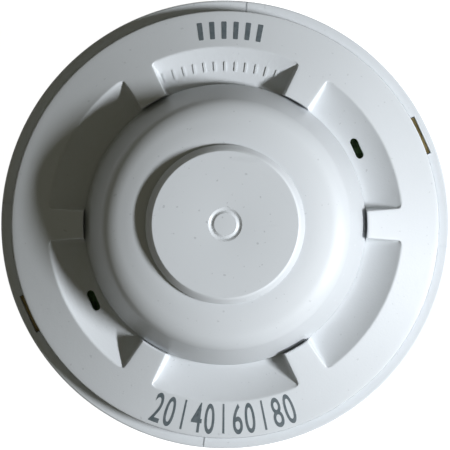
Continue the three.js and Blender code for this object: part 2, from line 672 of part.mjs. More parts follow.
place(head, 'housing', makeHousing(), whitePlastic);
place(head, 'dome_shell', makeDomeShell(), whitePlastic);

const collector = new THREE.Group();
head.add(collector);
place(collector, 'heat_collector', makeHeatCollector(), whitePaint);
place(collector, 'collector_stem', makeCollectorStem(), steel);
place(head, 'release_spring', makeReleaseSpring(), steel);
place(head, 'guide_sleeve', makeGuideSleeve(), brass);
place(head, 'solder_ring', surface(ring(BORE_OVER_STEM, SOLDER.radius, SOLDER.bottom, SOLDER.top)), solder);
place(head, 'spring_seat',
  surface(ring(BORE_OVER_STEM, SPRING_SEAT.radius, SPRING_SEAT.bottom, SPRING_SEAT.top)), brass);

const chamber = new THREE.Group();
head.add(chamber);
place(chamber, 'chamber_plate', makeChamberPlate(), greenLaminate);
place(chamber, 'chamber_gasket',
  surface(ring(GASKET.inner, GASKET.outer, GASKET.bottom, GASKET.top, RING_SEGMENTS)), rubber);
place(chamber, 'sleeve_seal', makeSleeveSeal(), rubber);
place(chamber, 'calibrated_vent', makeCalibratedVent(), brass, [VENT.x, VENT.y, 0]);
place(chamber, 'vent_filter', surface(rod(FILTER.radius, FILTER.bottom, FILTER.top)), felt,
  [VENT.x, VENT.y, 0]);
BOSS.angles.forEach((angle, i) => {
  const seat = [...polar(BOSS.circle, angle), PLATE.bottom - GAP];
  place(chamber, `chamber_screw_${i + 1}`, screw(CHAMBER_SCREW), steel, seat);
});

const rateSwitch = new THREE.Group();
rateSwitch.position.x = DIAPHRAGM.x;
head.add(rateSwitch);
const ratePost = [0, RATE_LEAF.hinge + GAP + RATE_LEAF.postLength / 2, 0];
place(rateSwitch, 'diaphragm', makeDiaphragm(), bronze);
place(rateSwitch, 'diaphragm_clamp_ring',
  surface(ring(CLAMP_RING.inner, CLAMP_RING.outer, CLAMP_RING.bottom, CLAMP_RING.top)), brass);
place(rateSwitch, 'diaphragm_button', makeDiaphragmButton(), brass);
place(rateSwitch, 'rate_leaf', makeRateLeaf(), bronze);
place(rateSwitch, 'rate_leaf_post', makeLeafPost(RATE_LEAF), brass, ratePost, -90);
place(rateSwitch, 'rate_adjust_screw', screw(ADJUST_SCREW), steel,
  [0, RATE_LEAF.contactY, ADJUST_SCREW.seat]);

const fusibleSwitch = new THREE.Group();
head.add(fusibleSwitch);
const fixedPost = [FIXED_LEAF.hinge - GAP - FIXED_LEAF.postLength / 2, 0, 0];
place(fusibleSwitch, 'fixed_leaf', makeFixedLeaf(), bronze);
place(fusibleSwitch, 'fixed_leaf_post', makeLeafPost(FIXED_LEAF), brass, fixedPost);
place(fusibleSwitch, 'fixed_contact_bridge', makeContactBridge(), brass, [FIXED_LEAF.contactX, 0, 0]);

const wiring = new THREE.Group();
head.add(wiring);
place(wiring, 'terminal_board', makeTerminalBoard(), darkBoard);
BOARD_FIXING.angles.forEach((angle, i) => {
  const [x, y] = polar(BOARD_FIXING.circle, angle);
  const spacer = ring(BOARD_FIXING.hole, BOARD_FIXING.spacerRadius, BOARD.top + GAP, PLATE.bottom - GAP,
    SMALL_SEGMENTS);
  place(wiring, `board_spacer_${i + 1}`, surface(spacer), brass, [x, y, 0]);
  place(wiring, `board_screw_${i + 1}`, screw(BOARD_SCREW), steel, [x, y, BOARD.bottom - GAP]);
});
TERMINAL_CORNERS.forEach(([sideX, sideY], i) => {
  const spot = [sideX * TERMINAL.offset, sideY * TERMINAL.offset];
  place(wiring, `terminal_plate_${i + 1}`, makeTerminalPlate(), brass, [...spot, 0]);
  place(wiring, `terminal_clamp_${i + 1}`, makeTerminalClamp(), brass, [...spot, 0]);
  place(wiring, `terminal_screw_${i + 1}`, screw(TERMINAL_SCREW), steel,
    [...spot, CLAMP.screwSeat], TERMINAL_SCREW_TURN * (i + 1));
});

export default detector;
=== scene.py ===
"""Looks of the ceiling heat detector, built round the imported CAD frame.

Shapes are drawn in millimetres and scaled to metres when their mesh is made.
"""

from math import asin, cos, degrees, pi, radians, sin, sqrt, tan

import bmesh
import bpy
from mathutils import Matrix, Vector


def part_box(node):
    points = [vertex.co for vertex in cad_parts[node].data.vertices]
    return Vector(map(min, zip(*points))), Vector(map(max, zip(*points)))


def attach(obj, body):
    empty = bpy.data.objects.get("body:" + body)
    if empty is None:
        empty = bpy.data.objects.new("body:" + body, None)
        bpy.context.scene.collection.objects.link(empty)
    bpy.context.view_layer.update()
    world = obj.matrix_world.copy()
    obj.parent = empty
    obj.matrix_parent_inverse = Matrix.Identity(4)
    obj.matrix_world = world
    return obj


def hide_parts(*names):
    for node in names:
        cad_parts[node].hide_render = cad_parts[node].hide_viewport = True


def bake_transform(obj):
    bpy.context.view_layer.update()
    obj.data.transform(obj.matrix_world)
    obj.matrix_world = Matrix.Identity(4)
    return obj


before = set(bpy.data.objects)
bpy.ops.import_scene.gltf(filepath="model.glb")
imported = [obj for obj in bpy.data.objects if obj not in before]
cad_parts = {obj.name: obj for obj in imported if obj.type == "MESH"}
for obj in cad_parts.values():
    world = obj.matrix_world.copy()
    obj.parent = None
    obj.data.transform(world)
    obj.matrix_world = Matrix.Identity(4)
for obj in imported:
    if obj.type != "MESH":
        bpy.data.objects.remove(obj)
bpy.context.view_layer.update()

MM = 0.001


def box_mm(node):
    """Lowest and highest corner of a CAD node, in millimetres."""
    low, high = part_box(node)
    return low / MM, high / MM


# ---- sizes taken from the frame

BASE_HIGH = box_mm("mounting_base")[1]
HOUSE_LOW, HOUSE_HIGH = box_mm("housing")
DOME_LOW, DOME_HIGH = box_mm("dome_shell")
DISC_LOW, DISC_HIGH = box_mm("heat_collector")

BASE_R, BASE_TOP = BASE_HIGH.x, BASE_HIGH.z
RIM_R, SKIRT_BOTTOM = HOUSE_HIGH.x, HOUSE_LOW.z
DISC_R, DISC_TOP, DISC_BOTTOM = DISC_HIGH.x, DISC_HIGH.z, DISC_LOW.z
DOME_TOP, DOME_FLANGE_R, DOME_FLANGE_BOTTOM = DOME_HIGH.z, DOME_HIGH.x, DOME_LOW.z

# Head face: a shallow cone with scoops between spokes, as in the CAD model.
RIM_Z = 22.8
FACE_SLOPE = tan(radians(17.5))
HOLE_R = 36.3           # the hole that the dome comes through
LEDGE_R = 36.1          # the thin ledge at the foot of that hole
UNDERSIDE = 20.8
SCOOP_R = 45.5          # the scoops' outer crest
SCOOP_INNER_R = 36.95   # where their floor is lowest
SCOOP_DROP = 2.2
SCOOP_CURVE = 1.57
SPOKE_HALF = 3.53
SPOKE_SPREAD = 0.077
DRAFT = tan(radians(6))
CORNER_R = 0.7
SPOKES = 6
SKIRT_R = 52.5
WALL = 2.0

# Dome: the radius of each bend from the flat top outwards, and the slope it ends at.
DOME_R = 36.0
FLAT_R = 17.3
BORE_R = 5.6            # the sleeve's bore, in the dome and in the chamber plate
DOME_BENDS = ((30.0, 14.5), (60.0, 16.5), (12.0, 34.0), (5.2, 67.0))

BAYONET_ANGLES = (45, 165, 285)
SLOT_ANGLES = (24.5, 204.5)
VIEW_HOLE_ANGLES = (30, 210)
BOSS_ANGLES = (0, 120, 240)
BOSS_CIRCLE = 44.0
POCKET_ANGLES = (60, 180, 300)
FIXING_CIRCLE = 30.0

WELD = 1e-7             # metres: points closer than this are one
ON_AXIS = 1e-6          # millimetres: an outline this close to the axis ends there


# ---- mesh helpers

def arc(centre, radius, start, end, steps):
    """Points on an arc whose angles are slopes: 0 points up, 90 points outwards."""
    points = []
    for i in range(steps + 1):
        turn = radians(start + (end - start) * i / steps)
        points.append((centre[0] + radius * sin(turn), centre[1] + radius * cos(turn)))
    return points


def corner_arc(before, corner, after, radius, steps):
    """Points of the fillet at a corner of a flat outline."""
    one, two = Vector(before) - Vector(corner), Vector(after) - Vector(corner)
    turn = pi - one.angle(two)
    reach = radius * tan(turn / 2)
    limit = 0.49 * min(one.length, two.length)
    if reach > limit:
        radius *= limit / reach
        reach = limit
    one.normalize()
    two.normalize()
    corner = Vector(corner)
    centre = corner + (one + two).normalized() * radius / cos(turn / 2)
    first, last = corner + one * reach - centre, corner + two * reach - centre
    points = []
    for i in range(steps + 1):
        t = i / steps
        spoke = (first * sin((1 - t) * turn) + last * sin(t * turn)) / sin(turn)
        points.append(tuple(centre + spoke))
    return points


def rounded(outline, steps=4, closed=True):
    """An outline of (x, y) or (x, y, fillet radius) corners, with its fillets drawn."""
    points = []
    count = len(outline)
    for i, corner in enumerate(outline):
        at_end = not closed and i in (0, count - 1)
        if len(corner) == 2 or at_end:
            points.append(tuple(corner[:2]))
            continue
        before, after = outline[i - 1][:2], outline[(i + 1) % count][:2]
        points += corner_arc(before, corner[:2], after, corner[2], steps)
    return points


def in_scene(name, data):
    """A new object in the scene, with this data."""
    obj = bpy.data.objects.new(name, data)
    bpy.context.scene.collection.objects.link(obj)
    return obj


def edit_mesh(mesh, *steps):
    """Runs steps on a mesh. Each step is a function of its editable copy."""
    bm = bmesh.new()
    bm.from_mesh(mesh)
    for step in steps:
        step(bm)
    bm.to_mesh(mesh)
    bm.free()


def weld(bm):
    """A step that joins the vertices lying on each other."""
    bmesh.ops.remove_doubles(bm, verts=bm.verts, dist=WELD)


def face_outwards(bm):
    """A step that turns every face outwards."""
    bmesh.ops.recalc_face_normals(bm, faces=bm.faces)


def make_object(name, verts, faces):
    """A new object from vertices in millimetres, with its normals pointing out."""
    mesh = bpy.data.meshes.new(name)
    mesh.from_pydata([(x * MM, y * MM, z * MM) for x, y, z in verts], [], faces)
    edit_mesh(mesh, weld, face_outwards)
    return in_scene(name, mesh)


def rings_to_faces(rings, count, closed):
    """Quads between rings of vertex numbers; a ring of one vertex is a pole."""
    faces = []
    pairs = list(zip(rings, rings[1:])) + ([(rings[-1], rings[0])] if closed else [])
    for lower, upper in pairs:
        for i in range(count):
            j = (i + 1) % count
            if len(lower) == 1 and len(upper) > 1:
                faces.append((lower[0], upper[j], upper[i]))
            elif len(upper) == 1 and len(lower) > 1:
                faces.append((lower[i], lower[j], upper[0]))
            elif len(lower) > 1:
                faces.append((lower[i], lower[j], upper[j], upper[i]))
    return faces


def add_ring(verts, reaches, height, centre):
    """Adds one level ring of vertices, with a radius for each, and returns their numbers."""
    start = len(verts)
    for i, reach in enumerate(reaches):
        turn = 2 * pi * i / len(reaches)
        verts.append((centre[0] + reach * cos(turn), centre[1] + reach * sin(turn), height))
    return list(range(start, len(verts)))


def lathe(name, outline, segments=96, centre=(0, 0)):
    """A (radius, height) outline turned about a vertical axis, closed on itself or on the axis."""
    verts, rings = [], []
    for radius, height in outline:
        if radius < ON_AXIS:
            rings.append([len(verts)])
            verts.append((*centre, height))
        else:
            rings.append(add_ring(verts, [radius] * segments, height, centre))
    open_outline = outline[0][0] < ON_AXIS
    return make_object(name, verts, rings_to_faces(rings, segments, not open_outline))


def prism(name, outline, bottom, top, matrix=None):
    """A flat outline pushed up from one height to another, then placed by a matrix."""
    count = len(outline)
    verts = [(x, y, bottom) for x, y in outline] + [(x, y, top) for x, y in outline]
    faces = [tuple(range(count - 1, -1, -1)), tuple(range(count, 2 * count))]
    faces += [(i, (i + 1) % count, count + (i + 1) % count, count + i) for i in range(count)]
    if matrix is not None:
        verts = [tuple(matrix @ Vector(v)) for v in verts]
    return make_object(name, verts, faces)


def turned(angle):
    """A turn about Z, in degrees."""
    return Matrix.Rotation(radians(angle), 4, "Z")


def placed(centre, angle=0, height=0):
    """A turn about Z, then a move to a centre and a height in millimetres."""
    return Matrix.Translation((*centre, height)) @ turned(angle)


def polar(radius, angle):
    """The point (x, y) at a radius and an angle in degrees."""
    return radius * cos(radians(angle)), radius * sin(radians(angle))


def rectangle(x_low, x_high, y_low, y_high, fillet=None, steps=4):
    """A rectangle's outline, with or without rounded corners."""
    corners = [(x_low, y_low), (x_high, y_low), (x_high, y_high), (x_low, y_high)]
    if fillet is None:
        return corners
    return rounded([(x, y, fillet) for x, y in corners], steps)


def obround(length, width, centre, angle, steps=10):
    """A slot with round ends."""
    half = (length - width) / 2
    points = []
    for end, start in ((half, -90), (-half, 90)):
        for i in range(steps + 1):
            x, y = polar(width / 2, start + 180 * i / steps)
            points.append((end + x, y))
    place = placed(centre, angle)
    return [tuple((place @ Vector((x, y, 0)))[:2]) for x, y in points]


def ring_slice(name, inner, outer, start, end, bottom, top, steps=16):
    """A slice of a ring between two angles."""
    angles = [start + (end - start) * i / steps for i in range(steps + 1)]
    outline = [polar(outer, a) for a in angles] + [polar(inner, a) for a in reversed(angles)]
    return prism(name, outline, bottom, top)


def apply_modifiers(obj):
    """Bakes the object's modifiers into its mesh."""
    graph = bpy.context.evaluated_depsgraph_get()
    old = obj.data
    mesh = bpy.data.meshes.new_from_object(obj.evaluated_get(graph))
    obj.modifiers.clear()
    obj.data = mesh
    bpy.data.meshes.remove(old)
    return obj


def join_objects(objects):
    """Several closed objects as one object, with no booleans."""
    merged = bmesh.new()
    for obj in objects:
        merged.from_mesh(obj.data)
    merged.to_mesh(objects[0].data)
    merged.free()
    for obj in objects[1:]:
        bpy.data.objects.remove(obj)
    return objects[0]


def boolean(obj, parts, operation):
    """Joins or cuts obj with parts that don't overlap each other, and removes the parts."""
    other = join_objects(parts)
    modifier = obj.modifiers.new("boolean", "BOOLEAN")
    modifier.operation = operation
    modifier.solver = "EXACT"
    modifier.object = other
    apply_modifiers(obj)
    bpy.data.objects.remove(other)
    return obj


def bevel(obj, width, segments=3, angle=35):
    """Rounds the edges sharper than an angle, by a width in millimetres."""
    modifier = obj.modifiers.new("bevel", "BEVEL")
    modifier.width = width * MM
    modifier.segments = segments
    modifier.limit_method = "ANGLE"
    modifier.angle_limit = radians(angle)
    return apply_modifiers(obj)


def finish_piece(obj, finish, body, nodes=(), sharp=38):
    """Shading, the finish's material (its slot name is not used), body and the CAD nodes the piece stands
    for.
    """
    mesh = obj.data
    slot, material = finish
    mesh.materials.clear()
    mesh.materials.append(material)
    mesh.polygons.foreach_set("use_smooth", [True] * len(mesh.polygons))
    mesh.set_sharp_from_angle(angle=radians(sharp))
    if nodes:
        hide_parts(*nodes)
    if body:
        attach(obj, body)
    return obj


# ---- materials

class Nodes:
    """A material's node tree with short calls for the nodes used here."""

    def __init__(self, name, colour, roughness, metallic=0.0):
        self.material = bpy.data.materials.new(name)
        self.material.use_nodes = True
        self.tree = self.material.node_tree
        self.shader = self.tree.nodes["Principled BSDF"]
        self.set("Base Color", (*colour, 1))
        self.set("Roughness", roughness)
        self.set("Metallic", metallic)
        self.place = self.add("ShaderNodeTexCoord").outputs["Object"]

    def set(self, socket, value):
        self.shader.inputs[socket].default_value = value

    def add(self, kind, **inputs):
        node = self.tree.nodes.new(kind)
        for key, value in inputs.items():
            node.inputs[key.replace("_", " ")].default_value = value
        return node

    def link(self, source, target):
        self.tree.links.new(source, target)

    def noise(self, scale, detail=2.0, stretch=None):
        node = self.add("ShaderNodeTexNoise", Scale=scale, Detail=detail)
        source = self.place
        if stretch:
            mapping = self.add("ShaderNodeMapping")
            mapping.inputs["Scale"].default_value = stretch
            self.link(self.place, mapping.inputs["Vector"])
            source = mapping.outputs["Vector"]
        self.link(source, node.inputs["Vector"])
        return node.outputs["Fac"]

    def ramp(self, source, stops):
        """A colour ramp; stops are (position, value or colour)."""
        node = self.add("ShaderNodeValToRGB")
        elements = node.color_ramp.elements
        while len(elements) < len(stops):
            elements.new(0.5)
        for element, (position, value) in zip(elements, stops):
            element.position = position
            colour = (value, value, value) if isinstance(value, (int, float)) else value
            element.color = (*colour, 1)
        self.link(source, node.inputs["Fac"])
        return node.outputs["Color"]

    def mix(self, factor, first, second):
        """Mixes two colours or colour outputs by a factor output."""
        node = self.add("ShaderNodeMix")
        node.data_type = "RGBA"
        self.link(factor, node.inputs["Factor"])
        for socket, value in ((node.inputs[6], first), (node.inputs[7], second)):
            if isinstance(value, tuple):
                socket.default_value = (*value, 1)
            else:
                self.link(value, socket)
        return node.outputs[2]

    def below(self, height, soft):
        """A factor that is 1 below a height and 0 above it, blending within soft millimetres of it."""
        split = self.add("ShaderNodeSeparateXYZ")
        self.link(self.place, split.inputs[0])
        high, low = (height + soft) * MM, (height - soft) * MM
        edge = self.add("ShaderNodeMapRange", From_Min=high, From_Max=low)
        self.link(split.outputs["Z"], edge.inputs["Value"])
        return edge.outputs["Result"]

    def scaled(self, source, factor):
        """A value output times a number."""
        node = self.add("ShaderNodeMath")
        node.operation = "MULTIPLY"
        node.inputs[1].default_value = factor
        self.link(source, node.inputs[0])
        return node.outputs[0]

    def bump(self, height, strength, distance, normal=None):
        node = self.add("ShaderNodeBump", Strength=strength, Distance=distance)
        self.link(height, node.inputs["Height"])
        if normal is not None:
            self.link(normal, node.inputs["Normal"])
        return node.outputs["Normal"]

    def finish(self, colour=None, roughness=None, normal=None):
        for socket, output in (("Base Color", colour), ("Roughness", roughness), ("Normal", normal)):
            if output is not None:
                self.link(output, self.shader.inputs[socket])
        return self.material


def shade(colour, factor):
    """A colour made darker or lighter."""
    return tuple(c * factor for c in colour)


WHITE = (0.80, 0.82, 0.84)
PAINTED_SHADE_Z = 36.9      # below this the dome's colour is darker: painted shade on its steep side
PAINTED_SIDE_SHADE = 0.78
PAINTED_SIDE_SHADE_SOFT = 1.4
PAINTED_RIM_SHADE_DEPTH = 0.5          # as far below its face the disc's bevelled rim is darker: painted shade
PAINTED_RIM_SHADE = 0.87
PAINTED_RIM_SHADE_SOFT = 0.3


def moulded_white(name, colour, grain, relief, side=None):
    """White moulded plastic: fine spark-eroded grain, faint blotches and a few specks.

    Below the height side, in millimetres, the colour is darkened: painted shade.
    """
    n = Nodes(name, colour, 0.45)
    blotch = n.ramp(n.noise(35, 3), [(0.35, 0.0), (0.7, 1.0)])
    body = n.mix(blotch, shade(colour, 1.01), shade(colour, 0.975))
    if side is not None:
        # painted shade: darker colour below the height side
        body = n.mix(n.below(side, PAINTED_SIDE_SHADE_SOFT), body, shade(colour, PAINTED_SIDE_SHADE))
    specks = n.ramp(n.noise(900, 1), [(0.74, 0.0), (0.78, 1.0)])
    tinted = n.mix(specks, body, shade(colour, 0.86))
    fine = n.noise(grain, 2.5)
    rough = n.ramp(n.noise(60, 4), [(0.3, 0.40), (0.7, 0.50)])
    coarse = n.bump(n.noise(grain / 4, 2), relief * 0.6, 0.00008)
    return n.finish(tinted, rough, n.bump(fine, relief, 0.00005, coarse))


def painted_disc():
    """White enamel on the collector disc, with a light texture, scuffs, dark specks and painted shade on
    its rim.
    """
    n = Nodes("disc_enamel", WHITE, 0.4)
    scuffs = n.ramp(n.noise(55, 5, (1, 5, 1)), [(0.62, 0.0), (0.72, 1.0)])
    body = n.mix(scuffs, WHITE, shade(WHITE, 0.95))
    # painted shade: the rim below the face is darker
    body = n.mix(n.below(DISC_TOP - PAINTED_RIM_SHADE_DEPTH, PAINTED_RIM_SHADE_SOFT), body, shade(WHITE, PAINTED_RIM_SHADE))
    specks = n.ramp(n.noise(750, 1), [(0.73, 0.0), (0.77, 1.0)])
    tinted = n.mix(specks, body, shade(WHITE, 0.8))
    rough = n.ramp(n.noise(90, 3), [(0.3, 0.34), (0.7, 0.46)])
    return n.finish(tinted, rough, n.bump(n.noise(1500, 2), 0.12, 0.00004))


def printed_ink():
    """Pad-printed slate grey ink, slightly thin in places."""
    n = Nodes("grey_ink", (0.13, 0.16, 0.175), 0.5)
    thin = n.ramp(n.noise(700, 3), [(0.35, (0.12, 0.15, 0.165)), (0.75, (0.19, 0.215, 0.23))])
    return n.finish(thin, None, n.bump(n.noise(1800, 2), 0.2, 0.00002))


HOUSING_WHITE = "white_plastic", moulded_white("housing_plastic", WHITE, 1900, 0.30)
BASE_WHITE = "white_plastic", moulded_white("base_plastic", WHITE, 1900, 0.22)
# the dome's steep side gets painted shade in its colour
DOME_WHITE = "dome_plastic", moulded_white("dome_plastic", WHITE, 1500, 0.10, PAINTED_SHADE_Z)
ENAMEL = "painted_disc", painted_disc()
INK = "grey_print", printed_ink()


# ---- the housing

def face_height(radius):
    """Height of the face's cone."""
    return RIM_Z + (RIM_R - radius) * FACE_SLOPE


def scoop_height(radius):
    """Height of a scoop's floor, blended softly into the face at its outer crest."""
    crest = face_height(SCOOP_R)
    span = SCOOP_R - SCOOP_INNER_R
    if radius >= SCOOP_R:
        floor = crest + (radius - SCOOP_R) * SCOOP_DROP * SCOOP_CURVE / span
    else:
        inwards = min(1.0, (SCOOP_R - radius) / span)
        floor = crest - SCOOP_DROP * (1 - (1 - inwards) ** SCOOP_CURVE)
    face = face_height(radius)
    softness = 0.22
    blend = max(softness - abs(face - floor), 0) ** 2 / (4 * softness)
    return min(face, floor) - blend


SPOKE_COLUMNS = 5
FILLET_COLUMNS = 5
FLOOR_COLUMNS = 16
TOP_FILLET = 0.35
FOOT_FILLET = 0.9


def spoke_half_width(radius):
    """Half width of a spoke at the face, flaring at the scoop's rounded outer corner."""
    width = SPOKE_HALF + (radius - SCOOP_INNER_R) * SPOKE_SPREAD
    into_corner = min(max(radius - (SCOOP_R - CORNER_R), 0), CORNER_R)
    return width + CORNER_R - sqrt(CORNER_R ** 2 - into_corner ** 2)


def half_sector(radius):
    """(angle from the spoke's middle, height) across half a spoke and half a scoop."""
    top, foot = face_height(radius), scoop_height(radius)
    half = spoke_half_width(radius)
    depth = top - foot
    middle = radius * sin(radians(180 / SPOKES))
    wall_foot = half + max(depth, 0.02) * DRAFT
    reach = TOP_FILLET + FOOT_FILLET
    scale = min(1.0, depth / reach) + 1e-3
    true = rounded([(0, top), (half, top, TOP_FILLET * scale),
                    (wall_foot, foot, FOOT_FILLET * scale), (middle, foot)],
                   FILLET_COLUMNS, closed=False)[1:-1]
    start, end = half - TOP_FILLET, half + FOOT_FILLET + 0.3
    steps = len(true) - 1
    fade = min(1.0, max(0.0, depth / 0.6))
    fade = fade * fade * (3 - 2 * fade)
    wall = []
    for i, (offset, height) in enumerate(true):
        flat = start + (end - start) * i / steps
        wall.append((offset * fade + flat * (1 - fade), height))
    offsets = [(wall[0][0] * i / SPOKE_COLUMNS, top) for i in range(SPOKE_COLUMNS)] + wall
    points = [(degrees(asin(y / radius)), z) for y, z in offsets]
    last = points[-1][0]
    mid_angle = 180 / SPOKES
    for i in range(1, FLOOR_COLUMNS + 1):
        points.append((last + (mid_angle - last) * i / FLOOR_COLUMNS, foot))
    return points


def full_row(radius):
    """(angle, height) right round the face at one radius."""
    half = half_sector(radius)
    mirrored = [(360 / SPOKES - a, z) for a, z in reversed(half[1:-1])]
    row = []
    for spoke in range(SPOKES):
        row += [(a + spoke * 360 / SPOKES, z) for a, z in half + mirrored]
    return row


def housing_grid():
    """The housing as one closed grid: face and scoops, rim, skirt, underside and ledge."""
    rows = []
    hole_floor = scoop_height(HOLE_R)
    inner = full_row(HOLE_R + 0.3)
    ledge = rounded([(LEDGE_R, UNDERSIDE), (LEDGE_R, hole_floor, 0.1), (HOLE_R, hole_floor)], 3,
                    closed=False)
    for radius, height in ledge:
        rows.append([(radius, a, height) for a, _ in inner])
    edge, edge_steps, least_step = 0.2, 4, 0.002
    for i in range(edge_steps + 1):
        turn = radians(90 * i / edge_steps)
        radius = HOLE_R + edge * (1 - cos(turn))
        drop = edge * (1 - sin(turn))
        rows.append([(radius, a, max(z - drop, hole_floor + least_step * (i + 1))) for a, z in inner])
    # Rings over the scoops, close together over their crest, then over the plain face.
    radii = [HOLE_R + 0.5 + 0.55 * i for i in range(13)]
    radii += [SCOOP_R - 1.0 + 0.125 * i for i in range(13)]
    radii += [SCOOP_R + 0.9 + 0.9 * i for i in range(9)]
    for radius in radii:
        rows.append([(radius, a, z) for a, z in full_row(radius)])
    angles = [a for a, _ in full_row(SCOOP_R + 1)]
    skirt_inner = SKIRT_R - WALL
    core = 46.6
    rim_bottom = 18.6
    outline = rounded([
        (SCOOP_R + 8.5, face_height(SCOOP_R + 8.5)), (RIM_R, RIM_Z, 0.45), (RIM_R, rim_bottom, 0.3),
        (SKIRT_R, rim_bottom, 0.2), (SKIRT_R, SKIRT_BOTTOM, 0.4), (skirt_inner, SKIRT_BOTTOM, 0.4),
        (skirt_inner, face_height(skirt_inner) - WALL, 0.8), (core, face_height(core) - WALL, 0.5),
        (core, UNDERSIDE, 0.3), (LEDGE_R, UNDERSIDE)], 6, closed=False)[1:-1]
    rows += [[(radius, a, height) for a in angles] for radius, height in outline]
    verts = []
    for row in rows:
        verts += [(*polar(radius, a), z) for radius, a, z in row]
    count = len(rows[0])
    rings = [list(range(i * count, (i + 1) * count)) for i in range(len(rows))]
    return make_object("housing_shell", verts, rings_to_faces(rings, count, True))


def make_housing():
    """The housing: the grid with lugs and bosses added, then view holes, pockets and pilots cut."""
    shell = housing_grid()
    lug_half, lug_r, lug_bottom, lug_top = 8.9, 55, 9.55, 11.45
    additions = [ring_slice("lug", SKIRT_R - 0.5, lug_r, a - lug_half, a + lug_half, lug_bottom, lug_top)
                 for a in BAYONET_ANGLES]
    boss = [(0, 18), (3, 18), (3.2, 18.2), (3.2, 21.4), (0, 21.4)]
    pilot = [(0, 17), (1.6, 17), (1.6, 22.6), (0, 23.2)]
    additions += [lathe("boss", boss, 40, polar(BOSS_CIRCLE, a)) for a in BOSS_ANGLES]
    boolean(shell, additions, "UNION")
    hole_r, hole_length, hole_width, hole_tilt = 39.1, 5.6, 2.0, 114.5
    pocket = rectangle(38.8, 44.8, -2, 2, 0.8)
    cutters = []
    for angle in VIEW_HOLE_ANGLES:
        outline = obround(hole_length, hole_width, polar(hole_r, angle), hole_tilt)
        cutters.append(prism("hole", outline, UNDERSIDE - 1, 28))
    cutters += [prism("pocket", pocket, UNDERSIDE - 1, 24, turned(a)) for a in POCKET_ANGLES]
    cutters += [lathe("pilot", pilot, 32, polar(BOSS_CIRCLE, a)) for a in BOSS_ANGLES]
    boolean(shell, cutters, "DIFFERENCE")
    return finish_piece(shell, HOUSING_WHITE, "head", ["housing"])


# ---- the dome and the collector

def dome_curve(inset, steps):
    """The dome's section from its flat top to its straight wall, set in by a wall thickness."""
    points = [(FLAT_R, DOME_TOP - inset)]
    x, z, slope, previous = FLAT_R, DOME_TOP, 0.0, 0.0
    for radius, end in DOME_BENDS:
        x += (previous - radius) * sin(radians(slope))
        z += (previous - radius) * cos(radians(slope))
        points += arc((x, z), radius - inset, slope, end, steps)[1:]
        slope, previous = end, radius
    radius, height = points[-1]
    wall = DOME_R - inset
    points.append((wall, height - (wall - radius) * tan(radians(slope))))
    return points


def make_dome():
    """The dome: a shell with a bore for the sleeve and a notched flange."""
    outside = dome_curve(0, 8)
    foot = outside.pop()
    inside = dome_curve(WALL, 4)[::-1]
    flange_bottom = DOME_FLANGE_BOTTOM
    flange_top = flange_bottom + 1.4
    outline = [(BORE_R, DOME_TOP)] + outside
    outline += rounded([
        outside[-1], (*foot, 0.6), (DOME_R, flange_top, 0.3), (DOME_FLANGE_R, flange_top, 0.3),
        (DOME_FLANGE_R, flange_bottom, 0.3), (DOME_R - WALL, flange_bottom, 0.3), inside[0]],
        5, closed=False)[1:-1]
    outline += inside + [(BORE_R, DOME_TOP - WALL)]
    dome = lathe("dome", outline, 240)
    notch = rectangle(37.5, 42, -4, 4)
    notches = [prism("notch", notch, flange_bottom - 1, flange_top + 1, turned(a))
               for a in VIEW_HOLE_ANGLES]
    boolean(dome, notches, "DIFFERENCE")
    return finish_piece(dome, DOME_WHITE, "head", ["dome_shell"])


def make_collector_disc():
    """The disc, with a ring groove in its face, a bevelled rim and a socket for the stem."""
    groove, half, floor_half, depth = 3.52, 0.72, 0.12, 0.36
    socket, socket_top = 2.1, DISC_BOTTOM + 1.05
    bevel_width = 1.6
    outline = rounded([
        (0, DISC_TOP), (groove - half, DISC_TOP, 0.25), (groove - floor_half, DISC_TOP - depth, 0.3),
        (groove + floor_half, DISC_TOP - depth, 0.3), (groove + half, DISC_TOP, 0.25),
        (DISC_R - bevel_width, DISC_TOP, 0.45), (DISC_R, DISC_BOTTOM + 0.15, 0.12),
        (DISC_R, DISC_BOTTOM, 0.02), (socket, DISC_BOTTOM, 0.1), (socket, socket_top),
        (0, socket_top)], 5, closed=False)
    disc = lathe("collector_disc", outline, 200)
    return finish_piece(disc, ENAMEL, "collector", ["heat_collector"])


# ---- the ceiling base

